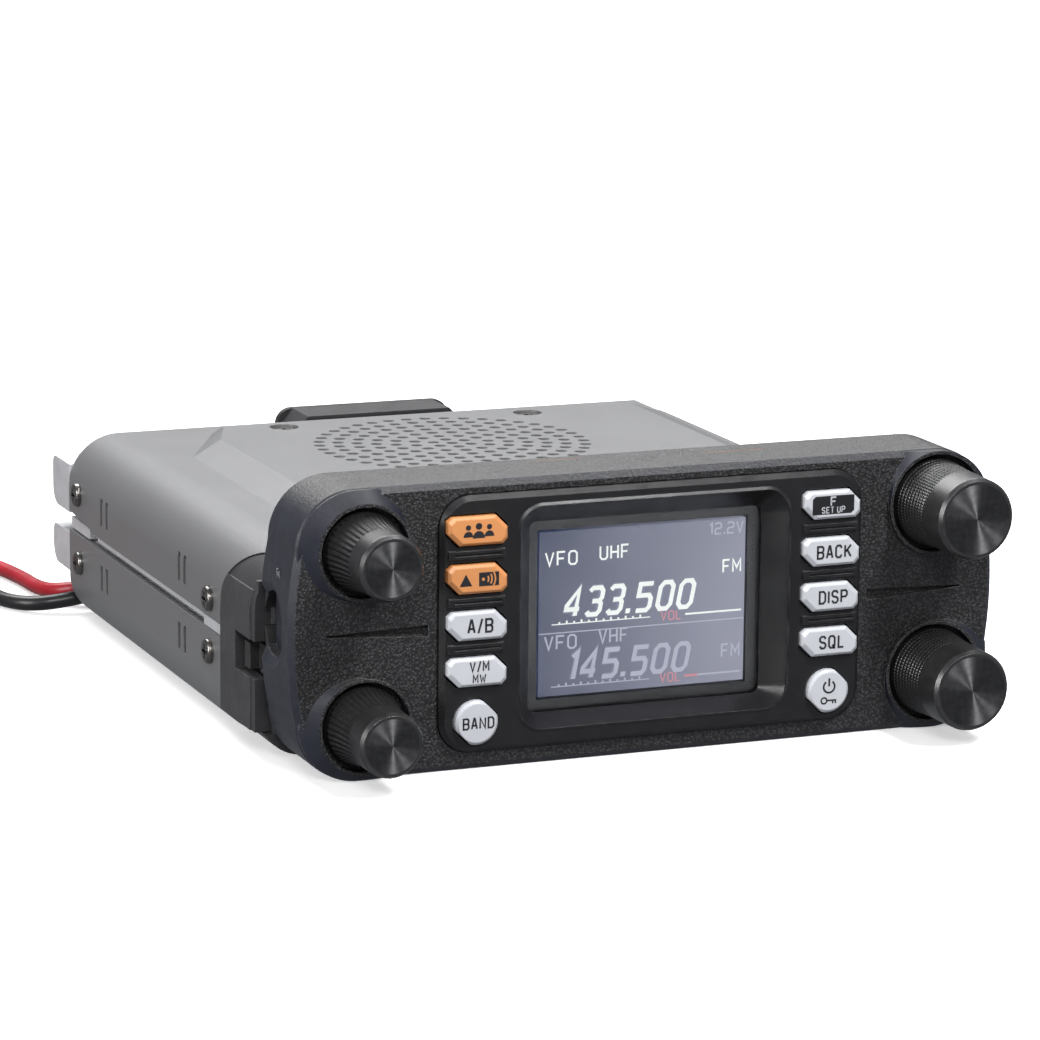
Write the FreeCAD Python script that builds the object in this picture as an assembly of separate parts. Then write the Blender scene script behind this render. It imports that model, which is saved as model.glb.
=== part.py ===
import FreeCAD, Part
import math
import os

# Mobile transceiver: a radio unit with a control head clipped to its front.
# Millimetres. +X is the head's right as seen from the front, the front faces -Y, +Z is up.
# The origin is the middle of the radio unit's base.

V = FreeCAD.Vector

# ---- driving dimensions ----
UNIT_W = 139.0  # width of radio unit and head
UNIT_H = 40.0  # radio unit, base to speaker plateau
HEAD_H = 53.0
HEAD_D = 18.0
UNIT_FRONT = -66.0  # where the head's back meets the bracket
COVER_REAR = 55.6  # rear edge of the sheet covers
LUG_REAR = 68.0  # rear end of the casting
HALF = UNIT_W / 2
FACE_Y = UNIT_FRONT - HEAD_D  # plane of the head's face
SHEET = 1.2  # cover sheet thickness
FIT = 0.3  # gap between pieces that move past each other
CLEAR = 0.1  # gap between pieces that stay put

# control head
HEAD_WALL = 2.0
BAND_REAR = -68.0  # rear edge of the front shell's side band
PLATE_Y = FACE_Y - 1.5  # front of the raised key plate
PLATE_HALF = 41.5
PLATE_Z = (3.6, 50.7)
PLATE_BACK = -81.0
RECESS_HALF = 26.4
RECESS_Z = (6.9, 48.0)
WINDOW_HALF = (22.9, 17.7)
DISPLAY_Z = 26.5  # centre height of the display
SCREEN_HALF = (20.4, 15.3)
SCREEN_Y = -79.6
BOARD_Y = -75.8  # front of the head's circuit board
BOARD_THICK = 1.6

HEAD_SCREWS = ((-45.2, 7.2), (45.2, 7.2), (-45.2, 33.4), (45.2, 33.4))
THUMB = (-71.9, 27.0, 6.0)  # thumb recess in the left side: y, z and radius
CARD_SLOT = (-73.6, -72.3, 21.4, 32.6)  # y and z reach of the card slot inside that recess

# keys: height of each row, the same on both sides
KEY_X = 34.8
KEY_ROWS = (44.5, 35.7, 27.2, 18.7, 9.3)
KEY_HALF = (5.65, 2.65)
KEY_ROUND_R = 4.1
KEY_FACE = -86.7
KEY_BACK = -80.2
KEY_FLANGE = 0.7
KEY_TRAVEL = 0.5

# knobs: x, z, skirt radius, face radius, height of face in front of the head's face
KNOBS = {
    "left_upper": (-55.5, 41.6, 7.4, 5.5, 15.0),
    "left_lower": (-55.4, 9.9, 7.4, 5.5, 15.0),
    "right_upper": (57.0, 43.0, 8.3, 7.1, 17.0),
    "right_lower": (57.1, 10.8, 8.3, 7.1, 17.0),
}
WELL_GAP = 0.9  # knob skirt to well wall
WELL_FLOOR = -82.0
KNOB_BACK = -82.9
SHAFT_R = 2.5
SHAFT_BACK = -76.6
RUN_FIT = 0.05
ENCODER_HALF = 5.6
KNOB_WALL = 1.6

# covers
PARTING = (18.6, 20.9)  # gap between lower and upper cover
SHOULDER_Z = 38.0
TOP_R = 10.5  # left shoulder radius
BASE_R = 9.0
CHEEK_REAR = -44.6  # rear edge of the bracket's side cheeks
CHEEK_Z = (5.0, 36.5)

# speaker under the plateau
SPEAKER = (-1.8, 13.4)
GRILLE_RINGS = 7
GRILLE_PITCH = 3.82
GRILLE_HOLE_R = 1.15
SPEAKER_R = 28.0

# casting
CAST_FRONT = -62.4
BACK_WALL = (50.0, 55.9)  # front and rear of the casting's back wall
FIN_REAR = 62.0
LUG_Z = ((22.0, 32.0), (9.8, 17.8))
WEB_Z = (9.0, 12.0)  # floor plate that carries the boards

# fan behind the back wall
FAN_X = -2.0
FAN_HALF = 19.2
FAN_Z = 19.6
FAN_Y = (56.0, 66.0)
FAN_RING_R = 17.9
FAN_ROTOR_R = 17.1
FAN_HUB_R = 8.0
FAN_PIN_R = 1.5
FAN_BLADES = 7
FAN_SCREW = 14.8  # screw offset from the fan's centre

# sockets on the back wall: x, z
ANTENNA = (47.0, 22.0)
ANTENNA_R = 7.9
FLANGE_HALF = 11.2
FLANGE_SCREW = 8.6  # screw holes of the antenna flange, each way from its middle
SPEAKER_JACKS = ((22.2, 30.0), (31.7, 30.0))
SPEAKER_JACK_R = 1.8
DATA_JACK = (24.0, 18.5)
MODULAR_JACK = (26.0, 7.0)

# power leads
LEAD_R = 1.55
LEAD_EXIT_X = -56.0
LEAD_Z = 4.6
BLACK_Y = 60.2
RED_Y = 64.6


# ---- general helpers ----
def box(x0, x1, y0, y1, z0, z1):
    return Part.makeBox(x1 - x0, y1 - y0, z1 - z0, V(x0, y0, z0))


def rod_y(x, z, r, y0, y1):
    return Part.makeCylinder(r, y1 - y0, V(x, y0, z), V(0, 1, 0))


def rod_z(x, y, r, z0, z1):
    return Part.makeCylinder(r, z1 - z0, V(x, y, z0))


def rod_x(y, z, r, x0, x1):
    return Part.makeCylinder(r, x1 - x0, V(x0, y, z), V(1, 0, 0))


def join(parts):
    solid = parts[0]
    for piece in parts[1:]:
        solid = solid.fuse(piece)
    return solid.removeSplitter()


def cut(solid, tools):
    for tool in tools:
        solid = solid.cut(tool)
    return solid


def group(solids):
    return Part.makeCompound(solids)


def outline(points, y):
    """A closed wire in the plane of that y. A point (x, z) ends a straight edge, and
    a pair ((x, z), (x, z)) is an arc through the first point to the second."""
    edges = []
    last = V(points[0][0], y, points[0][1])
    for p in list(points[1:]) + [points[0]]:
        if isinstance(p[0], tuple):
            middle = V(p[0][0], y, p[0][1])
            end = V(p[1][0], y, p[1][1])
            edges.append(Part.Arc(last, middle, end).toShape())
            last = end
        elif V(p[0], y, p[1]).distanceToPoint(last) > 1e-6:
            end = V(p[0], y, p[1])
            edges.append(Part.makeLine(last, end))
            last = end
    return Part.Wire(edges)


def slab(points, y0, y1):
    return Part.Face(outline(points, y0)).extrude(V(0, y1 - y0, 0))


def loft_y(points_a, y_a, points_b, y_b):
    return Part.makeLoft([outline(points_a, y_a), outline(points_b, y_b)], True, True)


def corner_mid(cx, cz, r, degrees):
    a = math.radians(degrees)
    return (cx + r * math.cos(a), cz + r * math.sin(a))


def rounded(x0, x1, z0, z1, r):
    """Outline points of a rectangle with round corners."""
    return [
        (x0 + r, z0),
        (x1 - r, z0),
        (corner_mid(x1 - r, z0 + r, r, -45), (x1, z0 + r)),
        (x1, z1 - r),
        (corner_mid(x1 - r, z1 - r, r, 45), (x1 - r, z1)),
        (x0 + r, z1),
        (corner_mid(x0 + r, z1 - r, r, 135), (x0, z1 - r)),
        (x0, z0 + r),
        (corner_mid(x0 + r, z0 + r, r, 225), (x0 + r, z0)),
    ]


def head_outline(inset):
    """The head's outline: long flat top and base, big corners, sides that bulge."""
    r = 11.0 - inset
    side = HALF - 1.5 - inset
    bulge = HALF - inset
    z0 = inset
    z1 = HEAD_H - inset
    return [
        (-side + r, z0),
        (side - r, z0),
        (corner_mid(side - r, z0 + r, r, -45), (side, z0 + r)),
        ((bulge, HEAD_H / 2), (side, z1 - r)),
        (corner_mid(side - r, z1 - r, r, 45), (side - r, z1)),
        (-side + r, z1),
        (corner_mid(-side + r, z1 - r, r, 135), (-side, z1 - r)),
        ((-bulge, HEAD_H / 2), (-side, z0 + r)),
        (corner_mid(-side + r, z0 + r, r, 225), (-side + r, z0)),
    ]


def octagon(x, z, half_x, half_z, long, short):
    """A key outline: long chamfers at the upper right and lower left, short at the others."""
    return [
        (x - half_x, z - half_z + long),
        (x - half_x, z + half_z - short),
        (x - half_x + short, z + half_z),
        (x + half_x - long, z + half_z),
        (x + half_x, z + half_z - long),
        (x + half_x, z - half_z + short),
        (x + half_x - short, z - half_z),
        (x - half_x + long, z - half_z),
    ]


# ---- control head ----
def collar(x, z, r):
    """A raised collar round a knob well, its slope longest towards the head's corner."""
    out_x = math.copysign(2.0, x)
    out_z = math.copysign(1.8, z - HEAD_H / 2)
    base = Part.Wire(Part.makeCircle(r + 2.3, V(x + out_x, FACE_Y + 0.5, z + out_z), V(0, 1, 0)))
    rim = Part.Wire(Part.makeCircle(r + 0.55, V(x, FACE_Y - 1.1, z), V(0, 1, 0)))
    return Part.makeLoft([base, rim], True, True)


def well_radius(skirt):
    return skirt + WELL_GAP


def head_front():
    edge = 1.1
    shell = slab(head_outline(0), FACE_Y + edge, BAND_REAR)
    shell = shell.fuse(loft_y(head_outline(edge), FACE_Y, head_outline(0), FACE_Y + edge))
    limit = slab(head_outline(0.15), FACE_Y - 3, BAND_REAR)
    inside = slab(head_outline(HEAD_WALL), FACE_Y + 2.5, BAND_REAR + 1)
    bosses = []
    for x, z, skirt, face, high in KNOBS.values():
        shell = shell.fuse(collar(x, z, well_radius(skirt)).common(limit))
        bosses.append(rod_y(x, z, well_radius(skirt) + 1.2, FACE_Y + 2.4, WELL_FLOOR + 0.9))
    bosses += [rod_y(x, z, 2.6, FACE_Y + 2.4, BAND_REAR) for x, z in HEAD_SCREWS]
    bosses.append(box(-HALF, -64.5, -79.6, BAND_REAR - 0.1, 18.5, 35.5))
    shell = cut(shell, [cut(inside, bosses)])
    shell = cut(shell, [rod_y(x, z, 1.3, -73.0, BAND_REAR + 1) for x, z in HEAD_SCREWS])
    for x, z, skirt, face, high in KNOBS.values():
        shell = shell.cut(rod_y(x, z, well_radius(skirt), FACE_Y - 4, WELL_FLOOR))
        shell = shell.cut(rod_y(x, z, 3.7, FACE_Y, BAND_REAR))
    x0, z0, z1 = PLATE_HALF + CLEAR, PLATE_Z[0] - CLEAR, PLATE_Z[1] + CLEAR
    shell = shell.cut(slab(rounded(-x0, x0, z0, z1, 6.0), FACE_Y - 1, FACE_Y + 4))
    for side in (-1, 1):
        wedge = [(side * 43.3, 25.4), (side * 43.3, 27.5), (side * 62.5, 26.9), (side * 62.5, 26.6)]
        shell = shell.cut(slab(wedge, FACE_Y - 0.1, FACE_Y + 1.2))
    y, z, r = THUMB
    thumb = rod_x(y, z, r, -HALF - 1, -HALF + 3.0)
    dish = Part.makeCone(r + 2.9, r, 1.6, V(-HALF - 0.2, y, z), V(1, 0, 0))
    y0, y1, z0, z1 = CARD_SLOT
    return cut(shell, [thumb, dish, box(-HALF - 1, -HALF + 6, y0, y1, z0, z1)])


def head_rear():
    plate = slab(head_outline(1.6), BAND_REAR, UNIT_FRONT)
    lip = slab(head_outline(HEAD_WALL + CLEAR), BAND_REAR - 3, BAND_REAR)
    lip = lip.cut(slab(head_outline(HEAD_WALL + 1.6), BAND_REAR - 4, BAND_REAR + 0.5))
    lip = lip.cut(box(-HALF, -HALF + 10, BAND_REAR - 4, BAND_REAR + 0.1, 18.0, 36.0))
    y, z, r = THUMB
    thumb = rod_x(y, z, r + CLEAR, -HALF - 1, -HALF + 4.5)
    hooks = []
    for side in (-1, 1):
        x0, x1 = sorted((side * 65.5, side * 67.0))
        tip0, tip1 = sorted((side * 65.5, side * 68.9))
        arm = box(x0, x1, UNIT_FRONT - 0.5, -55.6, 16.0, 20.8)
        hooks.append(arm.fuse(box(tip0, tip1, -60.4, -57.4, 16.0, 20.8)))
    shell = join([plate, lip] + hooks).cut(thumb)
    socket = box(-12, 12, BAND_REAR - 1, UNIT_FRONT + 1, 18, 24)
    screws = [rod_y(x, z, 1.7, BAND_REAR - 1, UNIT_FRONT + 1) for x, z in HEAD_SCREWS]
    return cut(shell, [socket] + screws)


def head_screws():
    pins = []
    for x, z in HEAD_SCREWS:
        pin = rod_y(x, z, 1.25, -72.0, UNIT_FRONT + 0.2)
        head = rod_y(x, z, 2.4, UNIT_FRONT, UNIT_FRONT + 1.2)
        slot = box(x - 1.5, x + 1.5, UNIT_FRONT + 0.6, UNIT_FRONT + 2, z - 0.3, z + 0.3)
        pins.append(pin.fuse(head).cut(slot))
    return group(pins)


def key_holes(grow):
    holes = []
    for side in (-1, 1):
        for row, z in enumerate(KEY_ROWS):
            holes.append(key_block(side * KEY_X, z, row, grow, PLATE_Y - 3, PLATE_BACK + 1))
    return holes


def key_points(x, z, grow):
    return octagon(x, z, KEY_HALF[0] + grow, KEY_HALF[1] + grow, 2.2, 0.9)


def key_block(x, z, row, grow, y0, y1):
    """A key's section over a stretch of its depth; the lowest key is round with two flats."""
    if row < len(KEY_ROWS) - 1:
        return slab(key_points(x, z, grow), y0, y1)
    r = KEY_ROUND_R + grow
    return rod_y(x, z, r, y0, y1).common(slab(octagon(x, z, r, r, 0.75 * r, 0.3), y0, y1))


def key_plate():
    x0, (z0, z1) = PLATE_HALF, PLATE_Z
    edge = 0.9
    outer = rounded(-x0, x0, z0, z1, 6.0)
    inner = rounded(-x0 + edge, x0 - edge, z0 + edge, z1 - edge, 6.0 - edge)
    plate = slab(outer, PLATE_Y + edge, PLATE_BACK)
    plate = plate.fuse(loft_y(inner, PLATE_Y, outer, PLATE_Y + edge))
    wx, wz = WINDOW_HALF
    rim = rounded(-RECESS_HALF, RECESS_HALF, RECESS_Z[0], RECESS_Z[1], 4.5)
    floor = rounded(-wx, wx, DISPLAY_Z - wz, DISPLAY_Z + wz, 1.5)
    plate = plate.cut(loft_y(rim, PLATE_Y - 0.001, floor, PLATE_BACK + 0.001))
    lip = rounded(-RECESS_HALF - 0.7, RECESS_HALF + 0.7, RECESS_Z[0] - 0.7, RECESS_Z[1] + 0.7, 5.2)
    lip_ring = loft_y(rim, PLATE_Y - 0.35, lip, PLATE_Y + 0.05)
    lip_ring = lip_ring.cut(slab(rim, PLATE_Y - 1, PLATE_Y + 1))
    plate = plate.fuse(lip_ring)
    plate = cut(plate, key_holes(FIT))
    bars = []
    for side in (-1, 1):
        for a, b in zip(KEY_ROWS[:3], KEY_ROWS[1:4]):
            mid = (a + b) / 2
            x = side * KEY_X
            bar = box(x - 5.4, x + 5.4, PLATE_Y - 0.5, PLATE_Y + 0.1, mid - 0.75, mid + 0.75)
            bars.append(bar.cut(box(x - 4.2, x + 4.8, PLATE_Y - 0.6, PLATE_Y - 0.1, mid - 0.2, mid + 0.2)))
    plate = join([plate] + bars)
    return plate


def key(side, row):
    x, z = side * KEY_X, KEY_ROWS[row]
    dome = 0.5
    cap = key_block(x, z, row, 0, KEY_FACE + dome, KEY_BACK)
    if row == len(KEY_ROWS) - 1:
        top = Part.makeCone(KEY_ROUND_R - dome, KEY_ROUND_R, dome, V(x, KEY_FACE, z), V(0, 1, 0))
        top = top.common(key_block(x, z, row, 0, KEY_FACE, KEY_FACE + dome))
    else:
        top = loft_y(key_points(x, z, -dome), KEY_FACE, key_points(x, z, 0), KEY_FACE + dome)
    flange = key_block(x, z, row, KEY_FLANGE, PLATE_BACK + 0.05, KEY_BACK)
    return join([cap, top, flange])


def keypad():
    """Two strips of rubber under the keys, with a foot under each."""
    strips = []
    for side in (-1, 1):
        x = side * KEY_X
        strip = box(x - 7.2, x + 7.2, -78.4, -77.6, 4.5, 49.0)
        feet = [rod_y(x, z, 2.2, KEY_BACK + KEY_TRAVEL + 0.15, -78.0) for z in KEY_ROWS]
        strips.append(join([strip] + feet))
    return group(strips)


def switches():
    switch = []
    for side in (-1, 1):
        for z in KEY_ROWS:
            x = side * KEY_X
            base = box(x - 2.3, x + 2.3, -77.2, BOARD_Y, z - 2.3, z + 2.3)
            switch.append(base.fuse(rod_y(x, z, 1.2, -77.5, -77.0)))
    return group(switch)


def window():
    return box(-24.0, 24.0, -80.9, -79.8, DISPLAY_Z - 18.6, DISPLAY_Z + 18.6)


def display_frame():
    frame = box(-25.0, 25.0, -79.7, BOARD_Y - 0.1, DISPLAY_Z - 19.2, DISPLAY_Z + 19.2)
    sx, sz = SCREEN_HALF
    seat = box(-sx - 0.4, sx + 0.4, -80, SCREEN_Y + 2.0, DISPLAY_Z - sz - 0.4, DISPLAY_Z + sz + 0.4)
    return frame.cut(seat)


def display_panel():
    sx, sz = SCREEN_HALF
    return box(-sx, sx, SCREEN_Y, SCREEN_Y + 2.0, DISPLAY_Z - sz, DISPLAY_Z + sz)


def head_board():
    board = slab(head_outline(3.2), BOARD_Y, BOARD_Y + BOARD_THICK)
    holes = [rod_y(x, z, 2.8, BOARD_Y - 1, BOARD_Y + 3) for x, z in HEAD_SCREWS]
    notch = box(-HALF, -HALF + 6.5, BOARD_Y - 1, BOARD_Y + 3, 18.0, 36.0)
    return cut(board, holes + [notch])


def card_socket():
    y0, y1, z0, z1 = CARD_SLOT
    body = box(-62.4, -48.4, y0 - 0.5, y1 + 0.8, z0 - 0.4, z1 + 0.4)
    slot = box(-63.0, -50.0, y0 + 0.1, y1 - 0.1, z0 + 0.2, z1 - 0.2)
    return body.cut(slot)


def encoder_body(x, z):
    body = box(x - ENCODER_HALF, x + ENCODER_HALF, -80.9, BOARD_Y, z - ENCODER_HALF, z + ENCODER_HALF)
    body = body.fuse(rod_y(x, z, 3.5, WELL_FLOOR + 0.1, -80.9))
    shaft_hole = rod_y(x, z, SHAFT_R + 1.4 + RUN_FIT, -80.2, -77.8)
    return cut(body, [shaft_hole, rod_y(x, z, SHAFT_R + RUN_FIT, -83, SHAFT_BACK + KEY_TRAVEL + 0.1)])


def encoder_bodies():
    return group([encoder_body(x, z) for x, z, skirt, face, high in KNOBS.values()])


def encoder_rotor(x, z):
    hub = rod_y(x, z, SHAFT_R + 1.4, -80.1, -77.9)
    return hub.cut(rod_y(x, z, SHAFT_R + RUN_FIT, -81, -77))


def encoder_shaft(x, z, high):
    return rod_y(x, z, SHAFT_R, FACE_Y - high + 3.0, SHAFT_BACK)


def knob(x, z, skirt, face, high):
    """A turned knob: a skirt that sweeps in to a barrel, a chamfer and a dished face."""
    front = FACE_Y - high
    barrel = face + 0.45
    profile = [
        V(0, front + 0.25, 0),
        V(face - 0.5, front, 0),
        V(face, front, 0),
        V(barrel, front + 0.8, 0),
    ]
    edges = [Part.makeLine(profile[i], profile[i + 1]) for i in range(3)]
    waist = V(barrel + 0.15, front + high * 0.5, 0)
    flare = V(barrel + (skirt - barrel) * 0.35, front + high * 0.72, 0)
    foot = V(skirt, KNOB_BACK - 0.8, 0)
    heel = V(skirt, KNOB_BACK, 0)
    edges.append(Part.makeLine(profile[3], waist))
    edges.append(Part.Arc(waist, flare, foot).toShape())
    edges.append(Part.makeLine(foot, heel))
    cavity = [V(skirt - KNOB_WALL, KNOB_BACK, 0), V(barrel - KNOB_WALL, front + high * 0.6, 0)]
    cavity += [V(4.0, front + high * 0.6, 0), V(4.0, KNOB_BACK, 0), V(0, KNOB_BACK, 0)]
    last = heel
    for p in cavity + [profile[0]]:
        edges.append(Part.makeLine(last, p))
        last = p
    body = Part.Face(Part.Wire(edges)).revolve(V(0, 0, 0), V(0, 1, 0), 360)
    body.translate(V(x, 0, z))
    return body.cut(rod_y(x, z, SHAFT_R, front + 3.0, KNOB_BACK + 1))


# ---- radio unit ----
def shoulders(inset):
    """The top of the unit's section from left to right: a round shoulder, then a bevelled one."""
    side = HALF - inset
    top = SHOULDER_Z - inset
    centre_x, centre_z = -HALF + TOP_R, SHOULDER_Z - TOP_R
    return [
        (-side, centre_z),
        (corner_mid(centre_x, centre_z, TOP_R - inset, 135), (centre_x, top)),
        (56.0 - 0.2 * inset, top),
        (61.0 - 0.4 * inset, 35.7 - 0.9 * inset),
        ((67.0 - 0.8 * inset, 32.0 - 0.6 * inset), (side, 26.5)),
    ]


def upper_profile(inset, base):
    side = HALF - inset
    return [(-side, base)] + shoulders(inset) + [(side, base)]


def lower_profile(inset, top):
    side = HALF - inset
    return [
        (-side, top),
        (-side, BASE_R),
        (corner_mid(-HALF + BASE_R, BASE_R, BASE_R - inset, 225), (-HALF + BASE_R, inset)),
        (HALF - BASE_R, inset),
        (corner_mid(HALF - BASE_R, BASE_R, BASE_R - inset, -45), (side, BASE_R)),
        (side, top),
    ]


def plateau(inset, front, drop):
    """The raised field over the speaker: flat top, long side facets, clipped rear corner."""
    low = [(-52.4, front), (-52.4, 25.7), (-41.0, 48.6), (51.0, 48.6), (55.5, 43.5), (55.5, front)]
    high = [(-44.5, front), (-44.5, 32.0), (-39.5, 45.6), (47.0, 45.6), (49.5, 43.0), (49.5, front)]
    mid_x, mid_y = 2.4, 0.0
    wires = []
    for points, z in ((low, SHOULDER_Z - 0.02 - drop), (high, UNIT_H - drop)):
        ring = []
        for x, y in points:
            sx = math.copysign(inset, x - mid_x)
            sy = inset if y > mid_y else 0.0
            ring.append(V(x - sx, y - sy, z))
        wires.append(Part.makePolygon(ring + [ring[0]]))
    return Part.makeLoft(wires, True, True)


def grille_holes():
    holes = [rod_z(SPEAKER[0], SPEAKER[1], GRILLE_HOLE_R, SHOULDER_Z - 2, UNIT_H + 1)]
    for ring in range(1, GRILLE_RINGS + 1):
        for i in range(6 * ring):
            a = 2 * math.pi * (i + 0.5 * (ring % 2)) / (6 * ring)
            x = SPEAKER[0] + ring * GRILLE_PITCH * math.cos(a)
            y = SPEAKER[1] + ring * GRILLE_PITCH * math.sin(a)
            holes.append(rod_z(x, y, GRILLE_HOLE_R, SHOULDER_Z - 2, UNIT_H + 1))
    return group(holes)


SLOT_Y = ((29.0, 32.7), (-22.7, -19.2))  # vent slots: two pairs along each side
SLOT_Z = ((23.7, 29.2), (10.4, 15.6))
SLOT_W = 1.7
SIDE_SCREWS = ((49.0, 27.0), (48.0, 13.0), (-38.3, 24.4), (-38.3, 14.4))
TOP_SCREWS = ((-28.2, 40.6), (24.8, 39.4))
TOP_SEAT = UNIT_H - 1.5  # where the heads of the top screws rest, in their dimples


def side_cuts(upper):
    """Vent slots and screw holes in both side walls."""
    cuts = []
    z0, z1 = SLOT_Z[0] if upper else SLOT_Z[1]
    for pair in SLOT_Y:
        for y in pair:
            cuts.append(box(-HALF - 1, HALF + 1, y - SLOT_W / 2, y + SLOT_W / 2, z0, z1))
    for y, z in SIDE_SCREWS:
        if (z > PARTING[1]) == upper:
            cuts.append(rod_x(y, z, 1.8, -HALF - 1, HALF + 1))
    return cuts


def cheek_profile(grow):
    """Side view of the bracket's cheek, as y and z: square at the base, round at the top rear."""
    rear = CHEEK_REAR + grow
    top = CHEEK_Z[1] + grow
    base = CHEEK_Z[0] - grow
    r = 14.0 + grow
    return rear, top, base, r


def cheek_block(grow, x0, x1):
    rear, top, base, r = cheek_profile(grow)
    front = UNIT_FRONT - 1
    a = math.radians(45)
    bend = V(x0, rear - r + r * math.cos(a), top - r + r * math.sin(a))
    edges = [
        Part.makeLine(V(x0, front, base), V(x0, rear, base)),
        Part.makeLine(V(x0, rear, base), V(x0, rear, top - r)),
        Part.Arc(V(x0, rear, top - r), bend, V(x0, rear - r, top)).toShape(),
        Part.makeLine(V(x0, rear - r, top), V(x0, front, top)),
        Part.makeLine(V(x0, front, top), V(x0, front, base)),
    ]
    return Part.Face(Part.Wire(edges)).extrude(V(x1 - x0, 0, 0))


def top_cover():
    front = UNIT_FRONT + 0.2
    cover = slab(upper_profile(0, PARTING[1]), front, COVER_REAR)
    cover = cover.fuse(plateau(0, front, 0))
    hollow = slab(upper_profile(SHEET, PARTING[1] - 1), front - 1, COVER_REAR + 1)
    cover = cover.cut(hollow).cut(plateau(SHEET, front - 1, SHEET))
    cover = cover.cut(grille_holes())
    cover = cut(cover, side_cuts(True))
    for x, y in TOP_SCREWS:
        cover = cover.fuse(rod_z(x, y, 3.9, TOP_SEAT - 1.0, UNIT_H - SHEET + 0.1))
        cover = cover.cut(rod_z(x, y, 1.8, TOP_SEAT - 2, UNIT_H + 1))
        cover = cover.cut(rod_z(x, y, 3.0, TOP_SEAT, UNIT_H + 1))
    for side in (-1, 1):
        x0, x1 = sorted((side * (HALF - 6.0), side * (HALF + 1)))
        cover = cover.cut(cheek_block(CLEAR, x0, x1))
    low, high = PARTING[1] - 1, PARTING[1] + 1.8
    notch = [V(0, 33.6, low), V(0, 57.0, low), V(0, 57.0, high), V(0, 33.6, PARTING[1])]
    notch = Part.Face(Part.makePolygon(notch + [notch[0]])).extrude(V(UNIT_W + 4, 0, 0))
    notch.translate(V(-HALF - 2, 0, 0))
    return cover.cut(notch)


BASE_SCREWS = ((-58.0, -30.0), (58.0, -30.0), (-58.0, 44.0), (58.0, 44.0))


def bottom_cover():
    front = CHEEK_REAR + CLEAR
    cover = slab(lower_profile(0, PARTING[0]), front, COVER_REAR)
    cover = cover.cut(slab(lower_profile(SHEET, PARTING[0] + 1), front - 1, COVER_REAR + 1))
    cover = cut(cover, side_cuts(False))
    for x, y in BASE_SCREWS:
        cover = cover.cut(rod_z(x, y, 1.8, -1, 2))
        cover = cover.cut(Part.makeCone(2.9, 1.8, 1.0, V(x, y, -0.01)))
    vents = []
    for i in range(9):
        x = -32.0 + 8.0 * i
        vents.append(box(x - 1, x + 1, -24, -4, -1, 2))
        vents.append(box(x - 1, x + 1, 8, 28, -1, 2))
    return cut(cover, vents)


def bracket():
    """The plastic adapter between head and radio: back plate, two cheeks and a foot."""
    plate = slab(unit_profile(SHEET + CLEAR), UNIT_FRONT + 0.2, -62.5)
    plate = plate.common(box(-66, 66, -67, -62, 1.4, 36.6)).cut(box(-30, 30, -67, -62, 9, 33))
    foot = slab(lower_profile(0.6, BASE_R + 1), UNIT_FRONT + 0.2, CHEEK_REAR)
    foot = foot.common(box(-HALF, HALF, UNIT_FRONT, CHEEK_REAR, 0, CHEEK_Z[0] - 0.2))
    foot = foot.cut(slab(rounded(-64.0, 64.0, 2.2, 9, 2), -62.5, CHEEK_REAR + 1))
    skin = slab(upper_profile(0.25, CHEEK_Z[0]), UNIT_FRONT + 2.0, CHEEK_REAR)
    skin = skin.cut(slab(upper_profile(2.6, CHEEK_Z[0] - 1), UNIT_FRONT + 1, CHEEK_REAR + 1))
    raised = slab(upper_profile(0, CHEEK_Z[0]), UNIT_FRONT + 4.0, CHEEK_REAR)
    raised = raised.cut(slab(upper_profile(0.6, CHEEK_Z[0] - 1), UNIT_FRONT + 1, CHEEK_REAR + 1))
    pieces = [plate, foot]
    for side in (-1, 1):
        x0, x1 = sorted((side * (HALF - 5.8), side * (HALF + 1)))
        shape = cheek_block(0, x0, x1)
        cheek = skin.common(shape).fuse(raised.common(shape).common(box(x0, x1, -70, 0, 0, 31.0)))
        arm0, arm1 = sorted((side * 65.0, side * 68.5))
        tie = box(min(arm0, arm1), max(arm0, arm1), -64.0, -62.6, CHEEK_Z[0], 14.0)
        pieces.append(cheek)
        pieces.append(tie)
        pieces.append(box(min(arm0, arm1), max(arm0, arm1), -64.0, -62.6, 23.0, 33.0))
    windows = []
    for side in (-1, 1):
        x0, x1 = sorted((side * 64.0, side * (HALF + 1)))
        windows.append(box(x0, x1, -67.0, -53.4, 14.8, 21.9))
    return cut(join(pieces), windows + [rod_y(x, z, 2.8, -67, -60) for x, z in HEAD_SCREWS])


def unit_profile(inset):
    """The whole section of the radio unit inside its covers."""
    side = HALF - inset
    return [
        (-side, BASE_R),
        *shoulders(inset),
        (side, BASE_R),
        (corner_mid(HALF - BASE_R, BASE_R, BASE_R - inset, -45), (HALF - BASE_R, inset)),
        (-HALF + BASE_R, inset),
        (corner_mid(-HALF + BASE_R, BASE_R, BASE_R - inset, 225), (-side, BASE_R)),
    ]


def lug(side, z0, z1):
    x0, x1 = sorted((side * (HALF - 9.0), side * (HALF - 0.1)))
    block = box(x0, x1, COVER_REAR + 0.15, LUG_REAR, z0, z1)
    for radius, height in ((2.0, z1), (3.6, z0)):
        tips = [e for e in block.Edges if e.BoundBox.YMin > LUG_REAR - 0.01 and e.BoundBox.XLength > 1]
        block = block.makeFillet(radius, [e for e in tips if abs(e.BoundBox.ZMin - height) < 0.01])
    return block


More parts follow.
